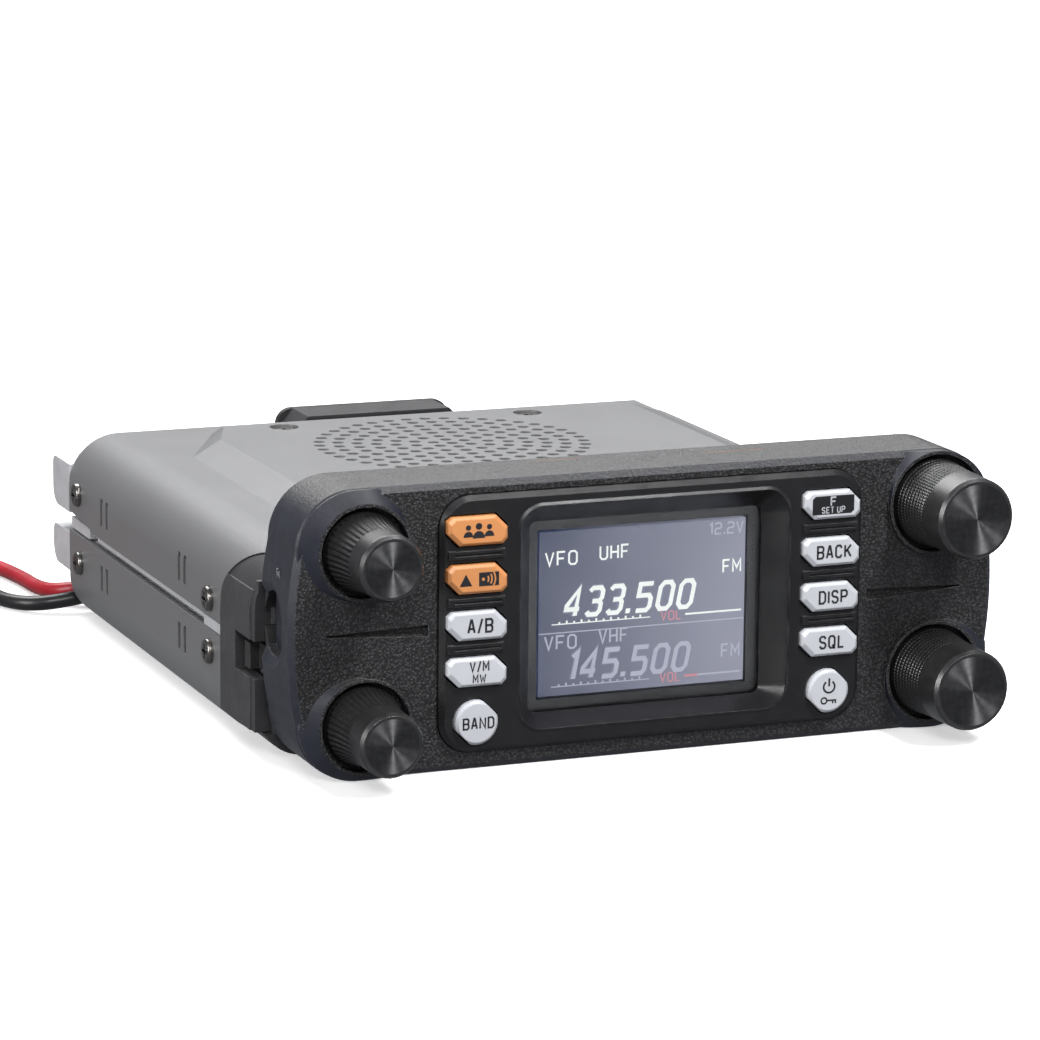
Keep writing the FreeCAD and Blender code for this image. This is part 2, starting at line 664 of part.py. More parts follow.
def side_rail(side):
    """One side wall of the casting: a ridge in a groove at the covers' gap, and pockets at the vents."""
    outer = HALF - SHEET - 0.45
    gap0, gap1 = PARTING
    groove = (outer - 1.6, outer + 1, CHEEK_REAR, BACK_WALL[0] + 1, gap0 - 0.2, gap1 + 0.2)
    pockets = []
    for near, far in ((min(pair), max(pair)) for pair in SLOT_Y):
        for z0, z1 in SLOT_Z:
            pockets.append((outer - 2.2, outer + 1, near - 1.6, far + 1.6, z0 - 0.6, z1 + 0.6))
    added = (
        (outer - 2.0, HALF - 0.7, CHEEK_REAR + 0.4, 37.5, gap0 + 0.9, gap1 - 0.45),
        (outer - 2.0, HALF - 0.1, CHEEK_REAR + 0.3, -34.5, gap0 + 0.15, gap1 - 0.15),
        (outer - 2.0, HALF - 0.6, 43.0, COVER_REAR + 0.3, gap0 + 0.3, gap1 + 0.3),
    )

    def placed(span):
        a, b, y0, y1, z0, z1 = span
        x0, x1 = sorted((side * a, side * b))
        return box(x0, x1, y0, y1, z0, z1)

    wall = placed((outer - 3.0, outer, CHEEK_REAR + 0.4, BACK_WALL[0], BASE_R, 28.4))
    wall = cut(wall, [placed(span) for span in (groove, *pockets)])
    return join([wall] + [placed(span) for span in added])


def chassis():
    """The die-cast frame: side rails, a web that carries the boards, a finned back with lugs."""
    inner = HALF - SHEET - 1.0
    pieces = [side_rail(-1), side_rail(1)]
    pieces.append(box(-inner, inner, CHEEK_REAR + 0.4, BACK_WALL[0] + 1, WEB_Z[0], WEB_Z[1]))
    pieces.append(box(-64.4, 64.4, CAST_FRONT, CHEEK_REAR + 1, WEB_Z[0], WEB_Z[1]))
    for x in (-64.4, 61.4):
        pieces.append(box(x, x + 3.0, CAST_FRONT, CHEEK_REAR + 0.5, WEB_Z[0], 28.0))
    for x, y in BASE_SCREWS:
        pieces.append(rod_z(x, y, 3.2, SHEET + 0.05, WEB_Z[0] + 0.5))
    for x, y in BOARD_SCREWS:
        pieces.append(rod_z(x, y, 3.0, WEB_Z[1] - 0.5, BOARD_Z[0]))
    pieces.append(slab(unit_profile(SHEET + 0.3), BACK_WALL[0], BACK_WALL[1]))
    for side in (-1, 1):
        for z0, z1 in LUG_Z:
            pieces.append(lug(side, z0, z1))
    for i in range(7):
        x = -58.5 + 5.0 * i
        pieces.append(box(x - 0.9, x + 0.9, BACK_WALL[1] - 0.5, FIN_REAR, 10.5, 34.0))
    cable_boss = box(LEAD_EXIT_X + 2, LEAD_EXIT_X + 14, BACK_WALL[1] - 0.5, RED_Y + 3.8, 1.6, 8.0)
    body = join(pieces + [cable_boss])
    cuts = [rod_y(FAN_X, FAN_Z, FAN_RING_R - 1.6, BACK_WALL[0] - 5, BACK_WALL[1] + 1)]
    cuts += [rod_z(x, y, 1.25, BOARD_Z[1] - 5.1, BOARD_Z[1] + 1) for x, y in BOARD_SCREWS]
    cuts.append(box(LEAD_EXIT_X + 3, LEAD_EXIT_X + 13, BACK_WALL[0] - 1, RED_Y + 2.6, 2.6, 6.6))
    cuts.append(box(LEAD_EXIT_X, LEAD_EXIT_X + 4, BLACK_Y - 2.6, RED_Y + 2.6, LEAD_Z - 2.2, LEAD_Z + 2.2))
    cuts.append(rod_y(ANTENNA[0], ANTENNA[1], ANTENNA_R + 0.3, BACK_WALL[0] - 1, BACK_WALL[1] + 1))
    for x, z in SPEAKER_JACKS:
        cuts.append(rod_y(x, z, 4.1, BACK_WALL[0] - 1, BACK_WALL[1] + 1))
    cuts.append(rod_y(DATA_JACK[0], DATA_JACK[1], 5.1, BACK_WALL[0] - 1, BACK_WALL[1] + 1))
    x, z = MODULAR_JACK
    cuts.append(box(x - 6.1, x + 6.1, BACK_WALL[0] - 1, BACK_WALL[1] + 1, z - 4.6, z + 4.6))
    for y, z in SIDE_SCREWS:
        cuts.append(rod_x(y, z, 1.25, -HALF - 1, -HALF + 9))
        cuts.append(rod_x(y, z, 1.25, HALF - 9, HALF + 1))
    for x, y in BASE_SCREWS + BOARD_SCREWS:
        cuts.append(rod_z(x, y, 1.25, 0, WEB_Z[1] + 1))
    for x, z in fan_corners():
        cuts.append(rod_y(x, z, 1.25, BACK_WALL[0] - 1, BACK_WALL[1] + 1))
    return cut(body, cuts)


def fan_corners():
    return [(FAN_X + i * FAN_SCREW, FAN_Z + j * FAN_SCREW) for i in (-1, 1) for j in (-1, 1)]


BOARD_SCREWS = ((-57.0, -52.0), (57.0, -52.0), (-57.0, 20.0), (57.0, 20.0))
BOARD_Z = (13.6, 15.2)


def main_board():
    board = box(-61.0, 61.0, -57.0, 44.0, BOARD_Z[0], BOARD_Z[1])
    return cut(board, [rod_z(x, y, 1.3, 13, 16) for x, y in BOARD_SCREWS])


def shield_cans():
    low = BOARD_Z[1]
    spans = (  # x and y ranges of each can, and its height
        (-60, -36, -20, 12, 6.0),
        (36, 60, -45, -12, 6.0),
        (-28, 22, -55, -22, 5.0),
        (36, 58, -6, 14, 4.0),
    )
    return group([box(a, b, c, d, low, low + high) for a, b, c, d, high in spans])


def power_module():
    body = box(26.0, 60.0, 24.5, 42.0, BOARD_Z[1], BOARD_Z[1] + 8.0)
    return body.cut(box(30.0, 56.0, 28.0, 38.5, BOARD_Z[1] + 7.2, BOARD_Z[1] + 9))


def speaker_basket():
    """A pressed ring and cup that hold the cone under the grille."""
    x, y = SPEAKER
    top = UNIT_H - SHEET - 0.1
    ring = rod_z(x, y, SPEAKER_R, top - 1.2, top).cut(rod_z(x, y, SPEAKER_R - 3.0, top - 2, top + 1))
    cup = Part.makeCone(13.5, SPEAKER_R - 1.5, 9.0, V(x, y, top - 9.9))
    cup = cup.cut(Part.makeCone(12.5, SPEAKER_R - 2.5, 9.0, V(x, y, top - 9.89)))
    floor = rod_z(x, y, 13.5, top - 10.8, top - 9.8).cut(rod_z(x, y, 6.0, top - 12, top - 8))
    return join([ring, cup, floor])


def speaker_cone():
    x, y = SPEAKER
    top = UNIT_H - SHEET - 0.1
    cone = Part.makeCone(6.2, SPEAKER_R - 3.2, 6.2, V(x, y, top - 7.6))
    cone = cone.cut(Part.makeCone(5.7, SPEAKER_R - 3.7, 6.21, V(x, y, top - 7.2)))
    dust = Part.makeSphere(8.0, V(x, y, top - 11.6)).common(rod_z(x, y, 5.9, top - 7.4, top - 2))
    return join([cone, dust])


def speaker_magnet():
    x, y = SPEAKER
    top = UNIT_H - SHEET - 0.1
    return rod_z(x, y, 11.5, top - 14.6, top - 10.9)


def fan_frame():
    x, z, half = FAN_X, FAN_Z, FAN_HALF
    bevel = 3.5
    points = [
        (x - half, z - half),
        (x + half, z - half),
        (x + half, z + half - bevel),
        (x + half - bevel, z + half),
        (x - half + bevel, z + half),
        (x - half, z + half - bevel),
    ]
    frame = slab(points, FAN_Y[0], FAN_Y[1]).cut(rod_y(x, z, FAN_RING_R, FAN_Y[0] - 1, FAN_Y[1] + 1))
    post = rod_y(x, z, FAN_HUB_R, FAN_Y[0], FAN_Y[0] + 1.6)
    struts = [box(x - FAN_RING_R - 0.5, x + FAN_RING_R + 0.5, FAN_Y[0], FAN_Y[0] + 1.4, z - 1.1, z + 1.1)]
    struts.append(box(x - 1.1, x + 1.1, FAN_Y[0], FAN_Y[0] + 1.4, z - FAN_RING_R - 0.5, z + FAN_RING_R + 0.5))
    pin = rod_y(x, z, FAN_PIN_R, FAN_Y[0], FAN_Y[1] - 2.6)
    frame = join([frame, post, pin] + struts)
    return cut(frame, [rod_y(cx, cz, 1.7, FAN_Y[0] - 1, FAN_Y[1] + 1) for cx, cz in fan_corners()])


def fan_rotor():
    y0, y1 = FAN_Y[0] + 2.0, FAN_Y[1] - 1.0
    hub = rod_y(0, 0, FAN_HUB_R, y0, y1)
    blade = box(FAN_HUB_R - 1.0, FAN_ROTOR_R, -0.7, 0.7, -3.6, 3.6)
    blade.rotate(V(0, 0, 0), V(1, 0, 0), 38)
    blade.translate(V(0, (y0 + y1) / 2, 0))
    limit = rod_y(0, 0, FAN_ROTOR_R, y0, y1)
    parts = [hub]
    for i in range(FAN_BLADES):
        turned = blade.copy()
        turned.rotate(V(0, 0, 0), V(0, 1, 0), 360.0 * i / FAN_BLADES)
        parts.append(turned.common(limit))
    rotor = join(parts)
    rotor.translate(V(FAN_X, 0, FAN_Z))
    return rotor.cut(rod_y(FAN_X, FAN_Z, FAN_PIN_R + RUN_FIT, y0 - 1, FAN_Y[1] - 2.4))


def fan_guard():
    """A flat finger guard: rings and spokes inside a plate with the fan's outline."""
    x, z = FAN_X, FAN_Z
    y0, y1 = FAN_Y[1] + CLEAR, FAN_Y[1] + 1.6
    plate = slab(rounded(x - FAN_HALF, x + FAN_HALF, z - FAN_HALF, z + FAN_HALF, 3.5), y0, y1)
    plate = plate.cut(rod_y(x, z, FAN_RING_R - 0.6, y0 - 1, y1 + 1))
    parts = [plate]
    for r in (5.0, 9.6, 14.2):
        parts.append(rod_y(x, z, r, y0, y1).cut(rod_y(x, z, r - 1.3, y0 - 1, y1 + 1)))
    for degrees in (45, 135):
        spoke = box(-FAN_RING_R, FAN_RING_R, y0, y1, -0.7, 0.7)
        spoke.rotate(V(0, 0, 0), V(0, 1, 0), degrees)
        spoke.translate(V(x, 0, z))
        parts.append(spoke)
    guard = join(parts)
    return cut(guard, [rod_y(cx, cz, 1.7, y0 - 1, y1 + 1) for cx, cz in fan_corners()])


def fan_screws():
    pins = []
    for x, z in fan_corners():
        pin = rod_y(x, z, 1.2, BACK_WALL[0] + 1, FAN_Y[1] + 1.6)
        head = rod_y(x, z, 2.7, FAN_Y[1] + 1.65, FAN_Y[1] + 3.0)
        collar = rod_y(x, z, 1.2, FAN_Y[1] + 1.5, FAN_Y[1] + 1.8)
        pins.append(join([pin, collar, head]).cut(cross_y(x, z, FAN_Y[1] + 2.3)))
    return group(pins)


def cross_y(x, z, y):
    flat = box(x - 1.5, x + 1.5, y, y + 3, z - 0.3, z + 0.3)
    return flat.fuse(box(x - 0.3, x + 0.3, y, y + 3, z - 1.5, z + 1.5))


def antenna_socket():
    """A coaxial socket: square flange, threaded barrel, clear inside for its contact."""
    x, z = ANTENNA
    y = BACK_WALL[1] + 0.05
    flange = box(x - FLANGE_HALF, x + FLANGE_HALF, y, y + 1.8, z - FLANGE_HALF, z + FLANGE_HALF)
    barrel = rod_y(x, z, ANTENNA_R, BACK_WALL[0] - 2, y + 14.0)
    socket = flange.fuse(barrel).cut(rod_y(x, z, 5.9, BACK_WALL[0] - 3, y + 15))
    for i in (-1, 1):
        for j in (-1, 1):
            socket = socket.cut(rod_y(x + FLANGE_SCREW * i, z + FLANGE_SCREW * j, 1.6, y - 1, y + 3))
    return socket


def antenna_contact():
    x, z = ANTENNA
    y = BACK_WALL[1]
    disc = rod_y(x, z, 5.85, BACK_WALL[0] - 1, y + 6.0)
    sleeve = rod_y(x, z, 3.0, y + 5.5, y + 12.0)
    return join([disc, sleeve]).cut(rod_y(x, z, 2.0, y + 1.0, y + 13))


def speaker_jacks():
    jacks = []
    for x, z in SPEAKER_JACKS:
        body = box(x - 4.0, x + 4.0, 36.0, BACK_WALL[0] - 0.1, z - 4.0, z + 4.0)
        nose = rod_y(x, z, 3.9, BACK_WALL[0] - 0.2, BACK_WALL[1] + 1.2)
        jacks.append(body.fuse(nose).cut(rod_y(x, z, SPEAKER_JACK_R, 38.0, BACK_WALL[1] + 2)))
    return group(jacks)


def data_jack():
    x, z = DATA_JACK
    body = rod_y(x, z, 4.9, 45.0, BACK_WALL[1] + 1.0)
    socket = rod_y(x, z, 3.9, 50.0, BACK_WALL[1] + 2)
    core = rod_y(x, z, 3.0, 49.5, BACK_WALL[1])
    pins = []
    for a in (0.5, 1.9, 3.1, 4.4, 5.6):
        pins.append(rod_y(x + 1.8 * math.cos(a), z + 1.8 * math.sin(a), 0.35, 52, 58))
    return body.cut(socket).fuse(cut(core, pins))


def modular_jack():
    x, z = MODULAR_JACK
    body = box(x - 6.0, x + 6.0, BACK_WALL[0] + 0.2, BACK_WALL[1] + 0.8, z - 4.5, z + 4.5)
    return body.cut(box(x - 4.8, x + 4.8, BACK_WALL[0] + 1.4, BACK_WALL[1] + 1, z - 3.2, z + 3.2))


def cover_screw(r_head, high, long):
    """A pan head with a cross recess on a thread of that length, along +Z with its seat at z = 0."""
    head = rod_z(0, 0, r_head, 0, high)
    rim = [e for e in head.Edges if e.BoundBox.ZMin > high - 0.01 and e.BoundBox.XLength > r_head]
    head = head.makeFillet(high * 0.6, rim[:1])
    cross = box(-1.4, 1.4, -0.3, 0.3, high - 0.7, high + 1)
    cross = cross.fuse(box(-0.3, 0.3, -1.4, 1.4, high - 0.7, high + 1))
    return head.fuse(rod_z(0, 0, 1.2, -long, 0)).cut(cross)


def placed_screws(places, direction, r_head, high, long=5.0):
    turn = FreeCAD.Rotation(V(0, 0, 1), direction)
    screws = []
    for place in places:
        screw = cover_screw(r_head, high, long)
        screw.Placement = FreeCAD.Placement(place, turn)
        screws.append(screw)
    return screws


def cover_screws():
    left = [V(-HALF, y, z) for y, z in SIDE_SCREWS]
    right = [V(HALF, y, z) for y, z in SIDE_SCREWS]
    top = [V(x, y, TOP_SEAT) for x, y in TOP_SCREWS]
    base = [V(x, y, 1.15) for x, y in BASE_SCREWS]
    screws = placed_screws(left, V(-1, 0, 0), 2.4, 1.1) + placed_screws(right, V(1, 0, 0), 2.4, 1.1)
    screws += placed_screws(top, V(0, 0, 1), 2.4, 1.0, 3.8) + placed_screws(base, V(0, 0, -1), 1.7, 0.9)
    return group(screws)


def board_screws():
    return group(placed_screws([V(x, y, BOARD_Z[1]) for x, y in BOARD_SCREWS], V(0, 0, 1), 2.4, 1.1))


# ---- power leads ----
RED_ROUTE = (
    (-56.0, 64.6, 4.6),
    (-63.0, 64.8, 3.9),
    (-68.8, 69.2, 2.6),
    (-70.6, 76.6, 1.75),
    (-71.0, 88.0, 1.65),
    (-74.0, 104.0, 1.65),
    (-83.5, 118.0, 1.65),
    (-98.5, 125.5, 1.65),
    (-114.5, 124.0, 1.65),
    (-126.5, 114.0, 1.65),
    (-132.5, 99.0, 1.65),
    (-134.4, 82.0, 1.65),
    (-134.0, 65.0, 2.0),
    (-133.0, 49.0, 3.3),
    (-133.1, 35.0, 4.4),
)
BLACK_ROUTE = (
    (-56.0, 60.2, 4.6),
    (-61.5, 60.1, 3.9),
    (-67.5, 59.4, 3.0),
    (-75.4, 61.2, 1.9),
    (-80.2, 68.0, 1.65),
    (-81.2, 77.5, 1.65),
    (-82.6, 91.0, 1.65),
    (-87.5, 104.5, 1.65),
    (-96.5, 113.5, 1.65),
    (-108.0, 115.0, 1.65),
    (-118.5, 109.0, 1.65),
    (-125.0, 97.5, 1.65),
    (-128.0, 82.5, 1.65),
    (-128.0, 66.0, 2.0),
    (-126.9, 50.0, 3.3),
    (-126.9, 35.0, 4.4),
)


def lead(name, route):
    """A round lead along straight runs joined by tangent arcs, with its radii and length printed."""
    points = [V(*p) for p in route]
    edges = []
    last = points[0]
    radii = []
    for a, b, c in zip(points, points[1:], points[2:]):
        into, out = b - a, c - b
        turn = into.getAngle(out)
        short = min(into.Length, out.Length)
        back = 0.45 * short
        radius = back / math.tan(turn / 2)
        radii.append(round(radius, 1))
        start = b - into.normalize() * back
        end = b + out.normalize() * back
        to_centre = (start + end) * 0.5 - b
        centre = b + to_centre.normalize() * (radius / math.cos(turn / 2))
        middle = centre + (b - centre).normalize() * radius
        edges.append(Part.LineSegment(last, start).toShape())
        edges.append(Part.Arc(start, middle, end).toShape())
        last = end
    edges.append(Part.LineSegment(last, points[-1]).toShape())
    path = Part.Wire(edges)
    ring = Part.Wire(Part.makeCircle(LEAD_R, points[0], points[1] - points[0]))
    tube = path.makePipeShell([ring], True, True)
    share = tube.Volume / (math.pi * LEAD_R**2 * path.Length)
    print(name, "length", round(path.Length, 1), "radii", radii)
    print("    volume over section times length", round(share, 4))
    return tube


def lead_grommet():
    block = box(LEAD_EXIT_X, LEAD_EXIT_X + 3.9, BLACK_Y - 2.5, RED_Y + 2.5, LEAD_Z - 2.1, LEAD_Z + 2.1)
    edges = [e for e in block.Edges if max(v.Point.x for v in e.Vertexes) < LEAD_EXIT_X + 0.1]
    return block.makeChamfer(0.8, edges)


def lead_plug():
    """A flat two-way power plug; the leads run into its rear."""
    mid = (RED_ROUTE[-1][0] + BLACK_ROUTE[-1][0]) / 2
    rear = RED_ROUTE[-1][1]
    body = box(mid - 8.0, mid + 8.0, rear - 15.0, rear, 0.4, 8.4)
    nose = box(mid - 6.6, mid + 6.6, rear - 25.0, rear - 14.5, 1.2, 7.6)
    grip = [box(mid - 9, mid + 9, rear - y - 0.5, rear - y + 0.5, 7.9, 9) for y in (3.0, 5.5, 8.0, 10.5)]
    hollows = [box(mid + x - 2.3, mid + x + 2.3, rear - 26, rear - 17, 2.4, 6.4) for x in (-3.1, 3.1)]
    return cut(body.fuse(nose), grip + hollows)


def nodes():
    found = {
        "head_front": head_front(),
        "head_rear": head_rear(),
        "head_screws": head_screws(),
        "key_plate": key_plate(),
        "keypad": keypad(),
        "key_switches": switches(),
        "display_window": window(),
        "display_frame": display_frame(),
        "display_panel": display_panel(),
        "head_board": head_board(),
        "card_socket": card_socket(),
        "encoder_bodies": encoder_bodies(),
        "bracket": bracket(),
        "top_cover": top_cover(),
        "bottom_cover": bottom_cover(),
        "chassis": chassis(),
        "main_board": main_board(),
        "shield_cans": shield_cans(),
        "power_module": power_module(),
        "speaker_basket": speaker_basket(),
        "speaker_cone": speaker_cone(),
        "speaker_magnet": speaker_magnet(),
        "fan_frame": fan_frame(),
        "fan_rotor": fan_rotor(),
        "fan_guard": fan_guard(),
        "fan_screws": fan_screws(),
        "antenna_socket": antenna_socket(),
        "antenna_contact": antenna_contact(),
        "speaker_jacks": speaker_jacks(),
        "data_jack": data_jack(),
        "modular_jack": modular_jack(),
        "cover_screws": cover_screws(),
        "board_screws": board_screws(),
        "lead_grommet": lead_grommet(),
        "lead_red": lead("red lead", RED_ROUTE),
        "lead_black": lead("black lead", BLACK_ROUTE),
        "lead_plug": lead_plug(),
    }
    for name, (x, z, skirt, face, high) in KNOBS.items():
        found["rotor_" + name] = encoder_rotor(x, z)
        found["shaft_" + name] = encoder_shaft(x, z, high)
        found["knob_" + name] = knob(x, z, skirt, face, high)
    for side, label in ((-1, "left"), (1, "right")):
        for row in range(len(KEY_ROWS)):
            found["key_%s_%d" % (label, row + 1)] = key(side, row)
    return found


os.makedirs("parts", exist_ok=True)
for name, shape in nodes().items():
    shape.exportStep("parts/%s.step" % name)
    print(name, len(shape.Solids), round(shape.Volume, 1), shape.isValid())
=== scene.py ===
import math

import bmesh
import bpy
from mathutils import Matrix, Vector


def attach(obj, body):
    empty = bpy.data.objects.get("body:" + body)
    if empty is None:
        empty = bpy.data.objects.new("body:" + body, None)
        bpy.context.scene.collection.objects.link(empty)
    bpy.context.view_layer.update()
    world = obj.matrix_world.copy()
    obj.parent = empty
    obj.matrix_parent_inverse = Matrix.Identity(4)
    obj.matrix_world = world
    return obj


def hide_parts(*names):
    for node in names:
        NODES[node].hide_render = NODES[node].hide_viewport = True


# Looks of the mobile transceiver. Metres, in the row frame: the head faces -Y and Z is up.

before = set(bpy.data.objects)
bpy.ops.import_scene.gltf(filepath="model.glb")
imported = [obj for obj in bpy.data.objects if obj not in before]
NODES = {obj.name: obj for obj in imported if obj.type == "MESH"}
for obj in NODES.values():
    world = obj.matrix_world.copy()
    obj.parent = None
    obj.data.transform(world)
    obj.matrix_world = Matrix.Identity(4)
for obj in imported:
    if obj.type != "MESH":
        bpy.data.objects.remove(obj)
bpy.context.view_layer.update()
MM = 0.001
HEAD_TOP = 53.0  # mm, top of the control head
KEY_FRONT = -86.7  # mm, front of the key caps
SCREEN_FRONT = -79.6  # mm, front of the display panel
SCREEN_MID = (0.0, 26.5)  # mm, centre of the display panel
SCREEN_HALF = (20.4, 15.3)  # mm, half its lit width and height
KEY_X = 34.8  # mm, middle of each key column
KEY_ROWS = (44.5, 35.7, 27.2, 18.7, 9.3)  # mm, middle of each key
KNOBS = {  # mm: x, z, face radius, front of the face
    "left_upper": (-55.5, 41.6, 5.5, -99.0),
    "left_lower": (-55.4, 9.9, 5.5, -99.0),
    "right_upper": (57.0, 43.0, 7.1, -101.0),
    "right_lower": (57.1, 10.8, 7.1, -101.0),
}


# ---- camera ----
def place_camera():
    azimuth, elevation, roll = (math.radians(a) for a in (21.76, 11.97, 0.53))
    out = Vector((-math.sin(azimuth) * math.cos(elevation), -math.cos(azimuth) * math.cos(elevation),
                  math.sin(elevation)))
    right = (-out).cross(Vector((0, 0, 1))).normalized()
    up = right.cross(-out)
    tilt_right = right * math.cos(roll) + up * math.sin(roll)
    tilt_up = up * math.cos(roll) - right * math.sin(roll)
    data = bpy.data.cameras.new("camera")
    data.lens = 154.2
    data.sensor_width = 36.0
    data.clip_end = 20.0
    camera = bpy.data.objects.new("camera", data)
    bpy.context.scene.collection.objects.link(camera)
    axes = Matrix((tilt_right, tilt_up, out)).transposed().to_4x4()
    camera.matrix_world = Matrix.Translation(Vector((-0.0259, -0.084, 0.04537)) + out * 0.79594) @ axes
    bpy.context.scene.camera = camera


place_camera()

# ---- power leads: the same points as the CAD, in metres ----
LEAD_R = 0.00155
RED_ROUTE = (
    (-0.0560, 0.0646, 0.0046),
    (-0.0630, 0.0648, 0.0039),
    (-0.0688, 0.0692, 0.0026),
    (-0.0706, 0.0766, 0.00175),
    (-0.0710, 0.0880, 0.00165),
    (-0.0740, 0.1040, 0.00165),
    (-0.0835, 0.1180, 0.00165),
    (-0.0985, 0.1255, 0.00165),
    (-0.1145, 0.1240, 0.00165),
    (-0.1265, 0.1140, 0.00165),
    (-0.1325, 0.0990, 0.00165),
    (-0.1344, 0.0820, 0.00165),
    (-0.1340, 0.0650, 0.0020),
    (-0.1330, 0.0490, 0.0033),
    (-0.1331, 0.0350, 0.0044),
)
BLACK_ROUTE = (
    (-0.0560, 0.0602, 0.0046),
    (-0.0615, 0.0601, 0.0039),
    (-0.0675, 0.0594, 0.0030),
    (-0.0754, 0.0612, 0.0019),
    (-0.0802, 0.0680, 0.00165),
    (-0.0812, 0.0775, 0.00165),
    (-0.0826, 0.0910, 0.00165),
    (-0.0875, 0.1045, 0.00165),
    (-0.0965, 0.1135, 0.00165),
    (-0.1080, 0.1150, 0.00165),
    (-0.1185, 0.1090, 0.00165),
    (-0.1250, 0.0975, 0.00165),
    (-0.1280, 0.0825, 0.00165),
    (-0.1280, 0.0660, 0.0020),
    (-0.1269, 0.0500, 0.0033),
    (-0.1269, 0.0350, 0.0044),
)


def lead(name, route):
    """A round flexible lead along one smooth curve."""
    data = bpy.data.curves.new(name, "CURVE")
    data.dimensions = "3D"
    data.bevel_depth = 1.0
    data.bevel_resolution = 5
    data.use_fill_caps = True
    spline = data.splines.new("NURBS")
    spline.points.add(len(route) - 1)
    for point, place in zip(spline.points, route):
        point.co = (*place, 1.0)
        point.radius = LEAD_R
    spline.order_u = 3
    spline.use_endpoint_u = True
    spline.resolution_u = 12
    piece = bpy.data.objects.new(name, data)
    bpy.context.scene.collection.objects.link(piece)
    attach(piece, "radio")
    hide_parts(name)
    return piece


red_lead = lead("lead_red", RED_ROUTE)
black_lead = lead("lead_black", BLACK_ROUTE)
red_lead.name = "red_lead"
black_lead.name = "black_lead"


